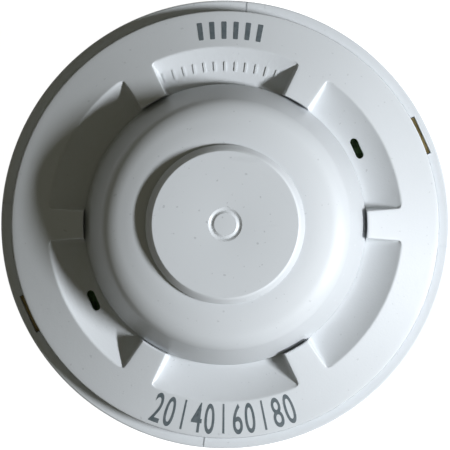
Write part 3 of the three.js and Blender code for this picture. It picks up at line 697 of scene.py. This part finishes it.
def make_base():
    """The base: a cup with a lip, bayonet hooks, stops, ribs beside the latches, slots and marks."""
    plate, skirt = 2.2, 56.0
    lip, lip_under, entry, entry_top = 55.28, BASE_TOP - 1.8, 24.0, 3.6
    outline = rounded([
        (entry, 0, 0.3), (57.2, 0, 0.5), (BASE_R, BASE_TOP - 3, 2), (BASE_R, BASE_TOP, 0.55),
        (lip, BASE_TOP, 0.15), (lip, lip_under, 0.2), (skirt, lip_under - 0.6, 0.3), (skirt, plate, 1.0),
        (entry + 1.6, plate, 0.4), (entry + 1.6, entry_top, 0.4), (entry, entry_top, 0.4)], 4)
    base = lathe("base_cup", outline, 240)
    hook_r, hook_bottom, hook_top, foot = 53.2, 12, 13.8, plate - 0.2
    hooks, stops = [], []
    for angle in BAYONET_ANGLES:
        opened = angle + 29.35
        hooks.append(ring_slice("hook", hook_r, skirt + 0.4, angle - 10, angle + 10, hook_bottom, hook_top))
        hooks.append(ring_slice("stop", hook_r, skirt + 0.4, opened, opened + 3, foot, hook_top, 4))
        # A little lower and further in than the hook, so that no two faces lie on each other.
        stops.append(ring_slice("stop", hook_r, skirt + 0.35, angle - 12.35, angle - 9.35, foot,
                                hook_top - 0.05, 4))
    for angle in SLOT_ANGLES:
        for low, high in ((-6.1, -4.6), (4.6, 6.1)):
            stops.append(prism("rib", rectangle(52.8, 55.8, low, high), foot, 5, turned(angle)))
    boolean(base, hooks, "UNION")
    boolean(base, stops, "UNION")
    slot, tick = rectangle(55.0, 56.15, -5.2, 5.2), rectangle(54, 59, -0.17, 0.17)
    cutters = [prism("slot", slot, 16, 21, turned(a)) for a in SLOT_ANGLES]
    cutters += [prism("tick", tick, BASE_TOP - 0.35, BASE_TOP + 1, turned(84.4 + 90 * i)) for i in range(4)]
    for angle, radius, length in ((0, 42.6, 8.2), (180, 42.6, 8.2), (90, 30.5, 7.4), (270, 30.5, 7.4)):
        screw_slot = obround(length, 4.6, polar(radius, angle), angle)
        cutters.append(prism("screw_slot", screw_slot, -1, plate + 1))
    boolean(base, cutters, "DIFFERENCE")
    return finish_piece(base, BASE_WHITE, "base", ["mounting_base"])


make_housing()
make_dome()
make_collector_disc()
make_base()


# ---- marks

INK_LIFT = 0.03
INK_ROOT = 0.12
SCALE_NUMBERS = ("20", "40", "60", "80")
SCALE_MIDDLE = 269.5
SCALE_STEP = 11.9
NUMBER_SIZE = 11.2
NUMBER_SQUEEZE = 0.54
NUMBER_WEIGHT = 0.09
NUMBER_SPACING = 1.15
NUMBER_RADIUS = 53.9
SCALE_LINES = (46.0, 53.9)
SCALE_LINE_WIDTH = 0.5
LONG_EDGE = 1.2         # longer edges of a mark are divided
MARK_HALF = 0.5         # half a flat mark's thickness before it is laid on the face
TYPE_BARS = 6
TYPE_BAR_WIDTH = 1.3
TYPE_BAR_PITCH = 3.05
TYPE_BAR_RADII = (47.6, 52.2)
TYPE_MIDDLE = 88.6
RIB_COUNT = 13
RIB_SPAN = (67.5, 112.5)
RIB_RADII = (39.4, 41.8)
RIB_WIDTH = 0.55
RIB_HEIGHT = 0.22
RIB_ROOT = 0.3
GATE_ANGLE, GATE_RADIUS, GATE_HEIGHT = 269, 54.0, 0.1


def wrapped(obj, middle, radius, surface, lift, root):
    """Bends a flat mark round the axis and lays it on a surface of revolution.

    Its X runs along the arc and its Y towards the axis. Above Z = 0 it is lifted off the surface,
    and below that it is rooted in it.
    """
    mesh = obj.data
    for vertex in mesh.vertices:
        x, y, z = vertex.co / MM
        reach = radius - y
        turn = radians(middle) + x / radius
        height = surface(reach) + (lift if z > 0 else -root)
        vertex.co = Vector((reach * cos(turn), reach * sin(turn), height)) * MM
    mesh.update()
    return obj


def divided(obj, cuts):
    """Triangles cut finer, so that a flat mark can follow a curved face."""
    def divide(bm):
        bmesh.ops.triangulate(bm, faces=bm.faces)
        long = [e for e in bm.edges if e.calc_length() > LONG_EDGE * MM]
        bmesh.ops.subdivide_edges(bm, edges=long, cuts=cuts, use_grid_fill=True)
        bmesh.ops.triangulate(bm, faces=bm.faces)

    edit_mesh(obj.data, divide)
    return obj


def number_mesh(text):
    """A number in the built-in font, flat, with a little depth."""
    curve = bpy.data.curves.new("number", "FONT")
    curve.body = text
    curve.size = NUMBER_SIZE * MM
    curve.extrude = MARK_HALF * MM
    curve.offset = NUMBER_WEIGHT * MM
    curve.space_character = NUMBER_SPACING
    curve.align_x = "CENTER"
    curve.resolution_u = 6
    drawn = in_scene("number", curve)
    graph = bpy.context.evaluated_depsgraph_get()
    mesh = bpy.data.meshes.new_from_object(drawn.evaluated_get(graph))
    bpy.data.objects.remove(drawn)
    mesh.transform(Matrix.Diagonal((NUMBER_SQUEEZE, 1, 1, 1)))
    edit_mesh(mesh, weld)
    return in_scene("number", mesh)


def flat_mark(width, depth, fillet):
    """A small plate with rounded corners, centred, its top above Z = 0."""
    outline = rectangle(-width / 2, width / 2, -depth / 2, depth / 2, fillet, 3)
    return prism("mark", outline, -MARK_HALF, MARK_HALF)


def inked(mark, angle, radius):
    """A mark as a thin layer of ink on the face."""
    return wrapped(divided(mark, 3), angle, radius, face_height, INK_LIFT, INK_ROOT)


def finish_marks(name, marks, finish):
    """Marks as one piece of the head."""
    piece = join_objects(marks)
    piece.name = name
    finish_piece(piece, finish, "head")


def make_scale():
    """A plain dial scale: tall numbers on an arc, with a thin line between each two."""
    marks = []
    low, high = SCALE_LINES
    count = len(SCALE_NUMBERS)
    for i, text in enumerate(SCALE_NUMBERS):
        angle = SCALE_MIDDLE + (i - (count - 1) / 2) * SCALE_STEP
        marks.append(inked(number_mesh(text), angle, NUMBER_RADIUS))
        if i < count - 1:
            line = flat_mark(SCALE_LINE_WIDTH, high - low, 0.1)
            marks.append(inked(line, angle + SCALE_STEP / 2, (low + high) / 2))
    finish_marks("dial_scale", marks, INK)


def make_type_bars():
    """Plain printed bars."""
    marks = []
    low, high = TYPE_BAR_RADII
    for i in range(TYPE_BARS):
        offset = (i - (TYPE_BARS - 1) / 2) * TYPE_BAR_PITCH
        angle = TYPE_MIDDLE + degrees(offset / ((low + high) / 2))
        marks.append(inked(flat_mark(TYPE_BAR_WIDTH, high - low, 0.2), angle, (low + high) / 2))
    finish_marks("printed_bars", marks, INK)


def make_scoop_ribs():
    """A row of small raised ribs on the floor of one scoop, and the mould's gate mark on the rim."""
    marks = []
    low, high = RIB_RADII
    first, last = RIB_SPAN
    for i in range(RIB_COUNT):
        angle = first + (last - first) * i / (RIB_COUNT - 1)
        mark = divided(flat_mark(RIB_WIDTH, high - low, 0.2), 1)
        marks.append(wrapped(mark, angle, (low + high) / 2, scoop_height, RIB_HEIGHT, RIB_ROOT))
    gate = divided(flat_mark(1.3, 0.5, 0.2), 1)
    marks.append(wrapped(gate, GATE_ANGLE, GATE_RADIUS, face_height, GATE_HEIGHT, RIB_ROOT))
    finish_marks("moulded_ribs", marks, HOUSING_WHITE)


make_scale()
make_type_bars()
make_scoop_ribs()


# ---- inner materials

def turned_metal(name, colour, roughness, ring_scale):
    """Metal with fine turning marks round a vertical axis and a slight tarnish."""
    n = Nodes(name, colour, roughness, 1.0)
    marks = n.noise(ring_scale, 3, (0.04, 0.04, 1))
    tarnish = n.ramp(n.noise(120, 4), [(0.35, 1.0), (0.72, 0.0)])
    tinted = n.mix(tarnish, shade(colour, 0.72), colour)
    rough = n.ramp(n.noise(300, 3), [(0.3, roughness - 0.06), (0.7, roughness + 0.12)])
    return n.finish(tinted, rough, n.bump(marks, 0.25, 0.00003))


def rolled_metal(name, colour, roughness):
    """Strip metal with faint lines along X and a warm tarnish."""
    n = Nodes(name, colour, roughness, 1.0)
    lines = n.noise(5000, 2, (0.05, 1, 1))
    tarnish = n.ramp(n.noise(200, 4), [(0.3, 0.0), (0.75, 1.0)])
    tinted = n.mix(tarnish, colour, shade(colour, 0.6))
    rough = n.ramp(lines, [(0.3, roughness), (0.7, roughness + 0.14)])
    return n.finish(tinted, rough, n.bump(lines, 0.15, 0.00002))


def laminate():
    """Glass-epoxy board whose weave shows faintly through the resin."""
    colour = (0.26, 0.46, 0.19)
    n = Nodes("green_laminate", colour, 0.35)
    across = n.noise(1400, 1, (1, 0.08, 1))
    along = n.noise(1400, 1, (0.08, 1, 1))
    weave = n.mix(across, (0, 0, 0), along)
    tinted = n.ramp(weave, [(0.12, shade(colour, 0.75)), (0.4, shade(colour, 1.35))])
    return n.finish(tinted, None, n.bump(weave, 0.2, 0.00005))


def soft_material(name, colour, roughness, scale, relief):
    """Rubber or felt: a matt, finely broken surface."""
    n = Nodes(name, colour, roughness)
    grain = n.noise(scale, 6)
    tinted = n.ramp(grain, [(0.3, shade(colour, 0.65)), (0.7, shade(colour, 1.3))])
    return n.finish(tinted, None, n.bump(grain, relief, 0.0002))


def phenolic():
    """Dark moulded board with faint flow marks."""
    colour = (0.02, 0.024, 0.026)
    n = Nodes("dark_board", colour, 0.5)
    flow = n.noise(45, 5, (1, 2.5, 1))
    tinted = n.ramp(flow, [(0.35, shade(colour, 0.75)), (0.7, shade(colour, 1.5))])
    rough = n.ramp(n.noise(150, 4), [(0.3, 0.42), (0.7, 0.58)])
    return n.finish(tinted, rough, n.bump(n.noise(2500, 3), 0.25, 0.00004))


BRASS = "brass", turned_metal("turned_brass", (0.70, 0.50, 0.20), 0.28, 3500)
STEEL = "steel", turned_metal("zinc_plated_steel", (0.55, 0.56, 0.57), 0.32, 3000)
SOLDER_METAL = "solder", turned_metal("solder_alloy", (0.60, 0.61, 0.63), 0.42, 500)
STAMPED_BRASS = "brass", rolled_metal("stamped_brass", (0.70, 0.50, 0.20), 0.25)
BRONZE = "bronze", rolled_metal("phosphor_bronze", (0.55, 0.28, 0.12), 0.3)
LATCH_BRONZE = "bronze", rolled_metal("aged_bronze", (0.68, 0.53, 0.25), 0.55)
LAMINATE = "green_laminate", laminate()
RUBBER = "rubber", soft_material("rubber", (0.02, 0.02, 0.02), 0.75, 900, 0.3)
FELT = "felt", soft_material("pressed_felt", (0.48, 0.44, 0.36), 0.95, 2200, 0.9)
PHENOLIC = "dark_board", phenolic()


# ---- release latches

NOSE_SPREAD = 1.16      # the nose is this many times as wide as the strip


def strip_outline(path, thickness):
    """The outline of a strip of even thickness along a path."""
    left, right = [], []
    for i, point in enumerate(path):
        before, after = path[max(i - 1, 0)], path[min(i + 1, len(path) - 1)]
        along = Vector((after[0] - before[0], after[1] - before[1])).normalized()
        side = Vector((-along.y, along.x)) * thickness / 2
        left.append((point[0] + side.x, point[1] + side.y))
        right.append((point[0] - side.x, point[1] - side.y))
    return left + right[::-1]


def along_y(name, outline, width, matrix):
    """An outline in the X-Z plane with a width along Y, placed by a matrix."""
    upright = Matrix.Rotation(radians(90), 4, "X")
    return prism(name, outline, -width / 2, width / 2, matrix @ upright)


def widen_top(strip, spot, start, spread):
    """Makes a placed strip wider above a height of its own."""
    into = spot.inverted()
    for vertex in strip.data.vertices:
        place = into @ (vertex.co / MM)
        if place.z > start:
            place.y *= spread
        vertex.co = (spot @ place) * MM


def make_latches():
    """Spring strips with a curled root and a bent nose, one behind each slot of the base."""
    thickness, width, radius, root_height, rise = 0.4, 8.6, 54.9, 3.6, 14.6
    curl = [polar(0.6, a) for a in range(60, -181, -15)]
    leaf = [(-0.6, 0.5), (-0.3, 1.1), (0, 1.9), (0, rise * 0.5), (0, rise - 1.1)]
    nose = rounded([(0, rise - 1.0), (0, rise - 0.2, 0.3), (1.1, rise - 0.2)], 4, closed=False)
    outline = strip_outline(curl + leaf + nose, thickness)
    for number, angle in enumerate(SLOT_ANGLES, 1):
        spot = placed(polar(radius, angle), angle, root_height)
        latch = along_y(f"latch_strip_{number}", outline, width, spot)
        widen_top(latch, spot, rise - 2, NOSE_SPREAD)
        bevel(latch, 0.06, 2)
        finish_piece(latch, LATCH_BRONZE, f"latch_{number}", [f"release_latch_{number}"])


make_latches()


# ---- collector, sleeve and spring

def make_turned(name, outline, finish, body, node, centre=(0, 0), segments=64):
    """A turned piece from (radius, height, fillet) corners."""
    piece = lathe(name, rounded(outline, 3, closed=outline[0][0] > 0), segments, centre)
    return finish_piece(piece, finish, body, [node])


def make_solder():
    """The cast alloy ring, drawn up slightly where it wets the cup and the stem."""
    inner, outer, bottom, top = 2.1, 3.9, 38.7, 40.1
    sag, steps = 0.28, 9
    surface = [(outer, top)]
    for i in range(1, steps):
        t = i / steps
        surface.append((outer + (inner - outer) * t, top - sag * sin(pi * t) ** 0.7))
    ring = lathe("solder_bead", [(inner, bottom), (outer, bottom)] + surface + [(inner, top)], 48)
    finish_piece(ring, SOLDER_METAL, "head", ["solder_ring"])


def make_spring():
    """The compressed release spring with closed ends."""
    coil, wire, bottom, top, turns, closing = 2.75, 0.4, 19.3, 27.6, 5, 0.35
    low, high = bottom + wire, top - wire
    steps, sides = 40 * turns, 12
    verts, rings = [], []
    for i in range(steps + 1):
        t = i / steps
        turn = 2 * pi * turns * t
        eased = t - closing / (2 * pi) * sin(2 * pi * t)
        height = low + (high - low) * eased
        ring = []
        for j in range(sides):
            around = 2 * pi * j / sides
            reach = coil + wire * cos(around)
            ring.append(len(verts))
            verts.append((reach * cos(turn), reach * sin(turn), height + wire * sin(around)))
        rings.append(ring)
    faces = rings_to_faces(rings, sides, False) + [tuple(rings[0][::-1]), tuple(rings[-1])]
    spring = make_object("spring_coil", verts, faces)
    finish_piece(spring, STEEL, None, ["release_spring"])
    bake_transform(spring)


make_turned("collector_rod", [
    (0, 14.1), (1.2, 14.1, 0.15), (1.8, 14.7, 0.3), (1.8, 27.9, 0.15), (3.1, 27.9, 0.2), (3.1, 29.7, 0.3),
    (1.8, 29.7, 0.25), (1.8, 41.9, 0.15), (0, 41.9)], STEEL, "collector", "collector_stem")
make_turned("guide_tube", [
    (3.5, 15.9, 0.2), (5.3, 15.9, 0.3), (5.3, 20.0, 0.2), (7.2, 20.0, 0.3), (7.2, 21.2, 0.3),
    (5.3, 21.2, 0.3), (5.3, 36.9, 0.2), (7.5, 36.9, 0.3), (7.5, 38.2, 0.3), (5.3, 38.2, 0.2),
    (5.3, 40.4, 0.3), (4.2, 40.4, 0.2), (4.2, 38.4, 0.2), (2.1, 38.4, 0.2), (2.1, 35.0, 0.3),
    (3.5, 35.0, 0.3)], BRASS, "head", "guide_sleeve")
make_solder()
make_spring()
make_turned("seat_ring", [(2.1, 16.2, 0.2), (3.2, 16.2, 0.3), (3.2, 19.0, 0.3), (2.1, 19.0, 0.3)],
            BRASS, "head", "spring_seat")


# ---- air chamber

PLATE_BOTTOM, PLATE_TOP = 15.9, 17.7
PLATE_R = 46.5
DIAPHRAGM_X = 20.0
VENT_SPOT = (-18.0, 10.0)


def rod(radius, bottom, top, centre, segments=40):
    """A plain rod, used to cut round holes."""
    return lathe("rod", [(0, bottom), (radius, bottom), (radius, top), (0, top)], segments, centre)


def make_chamber_plate():
    """The laminate plate, with holes for the sleeve, diaphragm, vent and screws."""
    outline = rounded([(0, PLATE_BOTTOM), (PLATE_R, PLATE_BOTTOM, 0.15), (PLATE_R, PLATE_TOP, 0.15),
                       (0, PLATE_TOP)], 2, closed=False)
    plate = lathe("chamber_closure", outline, 160)
    holes = [(BORE_R, (0, 0)), (8.5, (DIAPHRAGM_X, 0)), (2.1, VENT_SPOT)]
    holes += [(1.6, polar(BOSS_CIRCLE, a)) for a in BOSS_ANGLES]
    holes += [(1.8, polar(FIXING_CIRCLE, a)) for a in POCKET_ANGLES]
    boolean(plate, [rod(r, PLATE_BOTTOM - 1, PLATE_TOP + 1, spot) for r, spot in holes], "DIFFERENCE")
    finish_piece(plate, LAMINATE, "head", ["chamber_plate"])


def make_diaphragm():
    """A thin dished disc with rippled rings, held at its rim."""
    free, outer, rim_top, dish, ripple, thickness, steps = 8.6, 10.8, 18.3, 1.1, 0.22, 0.3, 48
    top = []
    for i in range(steps + 1):
        t = i / steps
        height = rim_top - dish * (1 + cos(t * pi)) / 2
        height += ripple * sin(t * pi * 3) * t * (1 - t) * 2
        top.append((free * t, height))
    top.append((outer, rim_top))
    under = [(r, z - thickness) for r, z in reversed(top)]
    disc = lathe("rippled_disc", top + under, 96, (DIAPHRAGM_X, 0))
    finish_piece(disc, BRONZE, None, ["diaphragm"])
    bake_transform(disc)


make_chamber_plate()
make_diaphragm()
make_turned("flat_gasket", [(34.4, 18.0, 0.2), (37.2, 18.0, 0.2), (37.2, 18.8, 0.2), (34.4, 18.8, 0.2)],
            RUBBER, "head", "chamber_gasket", segments=160)
seal = lathe("seal_cord", arc((6.4, 18.85), 0.8, 0, 345, 23), 64)
finish_piece(seal, RUBBER, "head", ["sleeve_seal"])
make_turned("vent_body", [
    (0.5, 14.8, 0.15), (1.8, 14.8, 0.25), (1.8, 18.0, 0.1), (3.0, 18.0, 0.2), (3.0, 18.8, 0.2),
    (1.8, 18.8, 0.2), (1.8, 20.4, 0.2), (0.5, 20.4, 0.1)], BRASS, "head", "calibrated_vent", VENT_SPOT, 40)
make_turned("felt_pad", [(0, 20.7), (2.6, 20.7, 0.4), (2.6, 22.2, 0.4), (0, 22.2)], FELT, "head",
            "vent_filter", VENT_SPOT, 40)
make_turned("diaphragm_ring", [(8.6, 18.6, 0.2), (11.5, 18.6, 0.3), (11.5, 19.8, 0.4), (8.6, 19.8, 0.4)],
            BRASS, "head", "diaphragm_clamp_ring", (DIAPHRAGM_X, 0), 96)
make_turned("push_button", [
    (0, 14.5), (1.2, 14.5, 0.4), (1.2, 15.9, 0.1), (2.4, 15.9, 0.15), (2.4, 16.5, 0.2), (0, 16.5)],
    BRASS, "button", "diaphragm_button", (DIAPHRAGM_X, 0), 40)


# ---- switch leaves and contacts

LEAF_WIDTH = 5.0
LEAF_THICKNESS = 0.3
LEAF_SEGMENTS = 24
BOARD_BOTTOM, BOARD_TOP = 7.8, 10.6
POST_FOOT = BOARD_TOP + 0.3


def contact(bottom, top, centre, domed_up):
    """A small contact rivet with a domed face."""
    low, high = (0.05, 0.15) if domed_up else (0.15, 0.05)
    outline = rounded([(0, bottom), (1.1, bottom, low), (1.1, top, high), (0, top)], 4, closed=False)
    return lathe("contact", outline, 32, centre)


def make_leaf(name, node, bottom, hinge, tip, contact_at, rivet, turn, centre):
    """A contact strip: along X from its hinge to its tip, then turned and moved into place.
    """
    low, high = sorted((hinge, tip))
    half = LEAF_WIDTH / 2
    outline = rounded([(low, -half, 0.05), (high, -half, 1.2), (high, half, 1.2), (low, half, 0.05)], 5)
    strip = prism(name, outline, bottom, bottom + LEAF_THICKNESS)

    def cut_across(bm):
        for i in range(1, LEAF_SEGMENTS):
            x = (low + (high - low) * i / LEAF_SEGMENTS) * MM
            geometry = bm.verts[:] + bm.edges[:] + bm.faces[:]
            bmesh.ops.bisect_plane(bm, geom=geometry, plane_co=(x, 0, 0), plane_no=(1, 0, 0))

    edit_mesh(strip.data, cut_across)
    button = contact(rivet[0], rivet[1], (contact_at, 0), rivet[1] > bottom + LEAF_THICKNESS)
    boolean(strip, [button], "UNION")
    strip.data.transform(Matrix.Translation(Vector((*centre, 0)) * MM) @ turned(turn))
    finish_piece(strip, BRONZE, None, [node])
    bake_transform(strip)


def make_post(name, node, top, turn, centre):
    """A leaf's post: an upright block on a foot."""
    outline = rounded([(-4.5, POST_FOOT, 0.1), (2.5, POST_FOOT, 0.1), (2.5, top, 0.2), (-2.5, top, 0.4),
                       (-2.5, POST_FOOT + 1, 0.4), (-4.5, POST_FOOT + 1, 0.3)], 3)
    post = along_y(name, outline, 6.0, placed(centre, turn))
    bevel(post, 0.1, 2, 50)
    finish_piece(post, STAMPED_BRASS, "head", [node])


def make_bridge():
    """The fixed contact over the leaf, on its two legs."""
    half, inner, foot, top, bottom = 6.0, 4.5, POST_FOOT, 15.45, 14.95
    outline = rounded([(-half, foot), (-inner, foot), (-inner, bottom, 0.3), (inner, bottom, 0.3),
                       (inner, foot), (half, foot), (half, top, 0.6), (-half, top, 0.6)], 4)
    bridge = along_y("contact_bridge", outline, 3.0, placed((-6, 0), 90))
    bevel(bridge, 0.1, 2, 50)
    finish_piece(bridge, STAMPED_BRASS, "head", ["fixed_contact_bridge"])


make_leaf("lower_leaf", "fixed_leaf", 13.5, -17, 2.5, -6, (13.55, 14.05), 0, (0, 0))
make_leaf("upper_leaf", "rate_leaf", 13.9, 12, -4, -2.5, (13.65, 14.1), 90,
          (DIAPHRAGM_X, 0))
make_post("lower_leaf_post", "fixed_leaf_post", 13.8, 0, (-19.8, 0))
make_post("upper_leaf_post", "rate_leaf_post", 14.2, -90, (DIAPHRAGM_X, 14.8))
make_bridge()


# ---- screws and terminals

PITCH = 0.794
TERMINAL_HOLE = 1.95
TERMINAL_SPOTS = [(12, 12), (-12, 12), (-12, -12), (12, -12)]
RATE_SCREW_SPOT = (DIAPHRAGM_X, -2.5)


def threaded(radius, bottom, top, pitch, depth, centre):
    """A rod with a real thread cut into it and a pointed end."""
    per_turn, around = 6, 24
    rows = max(2, int((top - bottom) / pitch * per_turn))
    verts, rings = [(*centre, bottom)], [[0]]
    for i in range(rows + 1):
        height = bottom + (top - bottom) * i / rows
        fade = min(1.0, i / per_turn, (rows - i) / per_turn)
        phases = [(height / pitch - j / around) % 1 for j in range(around)]
        reaches = [radius - depth * fade * (1 - abs(2 * phase - 1)) for phase in phases]
        rings.append(add_ring(verts, reaches, height, centre))
    rings.append(add_ring(verts, [radius / 2] * around, top + radius / 2, centre))
    rings.append([len(verts)])
    verts.append((*centre, top + radius / 2))
    return make_object("thread", verts, rings_to_faces(rings, around, False))


def make_screw(name, node, body, centre, seat, shank, head, head_height, length, turn=0):
    """A slotted pan-head screw with its head below its seat."""
    neck, face = shank * 0.8, seat - head_height
    outline = rounded([(0, seat + 0.2), (neck, seat + 0.2), (neck, seat, 0.1), (head, seat, 0.12),
                       (head, face, head_height * 0.55), (0, face)], 6, closed=False)
    screw = lathe(name, outline, 48, centre)
    across = rectangle(-head - 1, head + 1, -0.4, 0.4)
    slot = prism("slot", across, face - 1, face + 0.8, placed(centre, turn))
    boolean(screw, [slot], "DIFFERENCE")
    bevel(screw, 0.05, 2, 60)
    thread = threaded(shank, seat + 0.02, seat + length - shank / 2, PITCH, shank * 0.16, centre)
    join_objects([screw, thread])
    finish_piece(screw, STEEL, body, [node], 32)


def make_terminal(number, centre):
    """A terminal: a fixed plate, a clamp with folded edges and their screw."""
    x, y = centre
    plate = prism(f"terminal_strip_{number}", rectangle(x - 5, x + 5, y - 4.5, y + 4.5, 0.8), 6.9, 7.5)
    boolean(plate, [rod(TERMINAL_HOLE, 6, 8.5, centre)], "DIFFERENCE")
    bevel(plate, 0.08, 2, 50)
    finish_piece(plate, STAMPED_BRASS, "head", [f"terminal_plate_{number}"])
    half, lip = 4.2, 0.8
    outline = rounded([
        (-half, 5.3, 0.1), (lip - half, 5.3, 0.1), (lip - half, 5.8, 0.15), (half - lip, 5.8, 0.15),
        (half - lip, 5.3, 0.1), (half, 5.3, 0.1), (half, 6.6, 0.5), (-half, 6.6, 0.5)], 4)
    clamp = along_y(f"wire_clamp_{number}", outline, 8.4, placed(centre))
    boolean(clamp, [rod(TERMINAL_HOLE, 4.5, 8, centre)], "DIFFERENCE")
    bevel(clamp, 0.06, 2, 50)
    finish_piece(clamp, STAMPED_BRASS, f"clamp_{number}", [f"terminal_clamp_{number}"])
    make_screw(f"wire_screw_{number}", f"terminal_screw_{number}", f"screw_{number}", centre,
               5.2, 1.6, 3.3, 2.3, 4.6, 35 * number)


def make_board():
    """The moulded board, with a cross of walls between the terminals."""
    board_r, rib, reach, rib_bottom = 36, 0.8, 17.0, 4.2
    outline = rounded([(0, BOARD_BOTTOM), (board_r, BOARD_BOTTOM, 0.4), (board_r, BOARD_TOP, 0.4),
                       (0, BOARD_TOP)], 3, closed=False)
    board = lathe("wiring_board", outline, 160)
    cross = rounded([
        (reach, -rib, 0.3), (reach, rib, 0.3), (rib, rib, 0.6), (rib, reach, 0.3), (-rib, reach, 0.3),
        (-rib, rib, 0.6), (-reach, rib, 0.3), (-reach, -rib, 0.3), (-rib, -rib, 0.6), (-rib, -reach, 0.3),
        (rib, -reach, 0.3), (rib, -rib, 0.6)], 4)
    walls = prism("walls", cross, rib_bottom, BOARD_BOTTOM + 0.4)
    bevel(walls, 0.25, 3, 60)
    boolean(board, [walls], "UNION")
    holes = [(1.8, polar(FIXING_CIRCLE, a)) for a in POCKET_ANGLES]
    holes += [(TERMINAL_HOLE, spot) for spot in TERMINAL_SPOTS] + [(1.5, RATE_SCREW_SPOT)]
    boolean(board, [rod(r, BOARD_BOTTOM - 1, BOARD_TOP + 1, spot, 32) for r, spot in holes], "DIFFERENCE")
    finish_piece(board, PHENOLIC, "head", ["terminal_board"])


make_board()
for number, spot in enumerate(TERMINAL_SPOTS, 1):
    make_terminal(number, spot)
for number, angle in enumerate(BOSS_ANGLES, 1):
    make_screw(f"plate_screw_{number}", f"chamber_screw_{number}", "head", polar(BOSS_CIRCLE, angle),
               PLATE_BOTTOM - 0.3, 1.3, 2.7, 1.7, 7, 20 * number)
for number, angle in enumerate(POCKET_ANGLES, 1):
    spot = polar(FIXING_CIRCLE, angle)
    make_screw(f"mount_screw_{number}", f"board_screw_{number}", "head", spot,
               BOARD_BOTTOM - 0.3, 1.45, 2.7, 1.9, 9.6, 50 * number)
    tube = [(1.8, 10.9, 0.2), (3.4, 10.9, 0.25), (3.4, 15.6, 0.25), (1.8, 15.6, 0.2)]
    make_turned(f"spacer_tube_{number}", tube, BRASS, "head", f"board_spacer_{number}", spot, 40)
make_screw("set_screw", "rate_adjust_screw", "head", RATE_SCREW_SPOT, 7.1, 1.2, 2.1, 1.3, 5.4, 15)


# ---- camera, light and floor

LENS_DISTANCE = 0.7
VIEW_HALF_WIDTH = 0.0582
CAMERA_XY = (-0.00005, -0.00013)
SENSOR = 36.0
LIGHT_TARGET = Vector((0, 0, 0.025))
LIGHT_AZIMUTH = radians(-15)
LIGHT_ELEVATION = radians(33.4)
LIGHT_DISTANCE = 1.3
LIGHT_POWER = 19.5
LIGHT_WIDTH = 0.45
LIGHT_HEIGHT = 0.07
LIGHT_COLOUR = (0.955, 1.0, 1.05)
FLOOR_SIZE = 2.0
FLOOR_DROP = 0.5        # millimetres below the detector's back
FILL_COLOUR = (1.0, 0.98, 0.74)
FILL_STRENGTH = 0.068
PALE = (0.9, 0.9, 0.9)  # the floor and the backdrop
FLOOR_GLOW = 0.95       # what the camera sees added to the floor, which lights nothing


def make_camera():
    """Straight above the detector, as it is seen on a ceiling from below."""
    data = bpy.data.cameras.new("camera")
    data.sensor_width = SENSOR
    data.lens = SENSOR * (LENS_DISTANCE - BASE_TOP * MM) / (2 * VIEW_HALF_WIDTH)
    data.clip_end = 20
    camera = in_scene("camera", data)
    camera.location = (*CAMERA_XY, LENS_DISTANCE)
    bpy.context.scene.camera = camera


def make_light():
    """A wide, low softbox on one side."""
    along = cos(LIGHT_ELEVATION)
    direction = Vector((cos(LIGHT_AZIMUTH) * along, sin(LIGHT_AZIMUTH) * along,
                        sin(LIGHT_ELEVATION)))
    data = bpy.data.lights.new("softbox", "AREA")
    data.shape = "ELLIPSE"
    data.size = LIGHT_WIDTH
    data.size_y = LIGHT_HEIGHT
    data.energy = LIGHT_POWER
    data.color = LIGHT_COLOUR
    light = in_scene("softbox", data)
    light.location = LIGHT_TARGET + direction * LIGHT_DISTANCE
    light.rotation_euler = direction.to_track_quat("Z", "Y").to_euler()


def make_world():
    """A dim even fill that lights the detector, behind a pale backdrop that the camera sees."""
    world = bpy.data.worlds.new("studio")
    world.use_nodes = True
    tree = world.node_tree
    fill = tree.nodes["Background"]
    fill.inputs["Color"].default_value = (*FILL_COLOUR, 1)
    fill.inputs["Strength"].default_value = FILL_STRENGTH
    backdrop = tree.nodes.new("ShaderNodeBackground")
    backdrop.inputs["Color"].default_value = (*PALE, 1)
    seen = tree.nodes.new("ShaderNodeLightPath").outputs["Is Camera Ray"]
    mix = tree.nodes.new("ShaderNodeMixShader")
    tree.links.new(seen, mix.inputs[0])
    tree.links.new(fill.outputs[0], mix.inputs[1])
    tree.links.new(backdrop.outputs[0], mix.inputs[2])
    tree.links.new(mix.outputs[0], tree.nodes["World Output"].inputs["Surface"])
    bpy.context.scene.world = world
    bpy.context.scene.view_settings.view_transform = "Standard"


def make_floor():
    """A pale surface just behind the detector, shown plain white to the camera."""
    half = FLOOR_SIZE / 2 / MM
    corners = rectangle(-half, half, -half, half)
    floor = make_object("floor", [(x, y, -FLOOR_DROP) for x, y in corners], [(0, 1, 2, 3)])
    n = Nodes("floor_paint", PALE, 0.8)
    seen = n.add("ShaderNodeLightPath").outputs["Is Camera Ray"]
    n.set("Emission Color", (1, 1, 1, 1))
    n.link(n.scaled(seen, FLOOR_GLOW), n.shader.inputs["Emission Strength"])
    n.finish(None, n.ramp(n.noise(5, 3), [(0.3, 0.75), (0.7, 0.85)]))
    floor.data.materials.append(n.material)


make_camera()
make_light()
make_world()
make_floor()
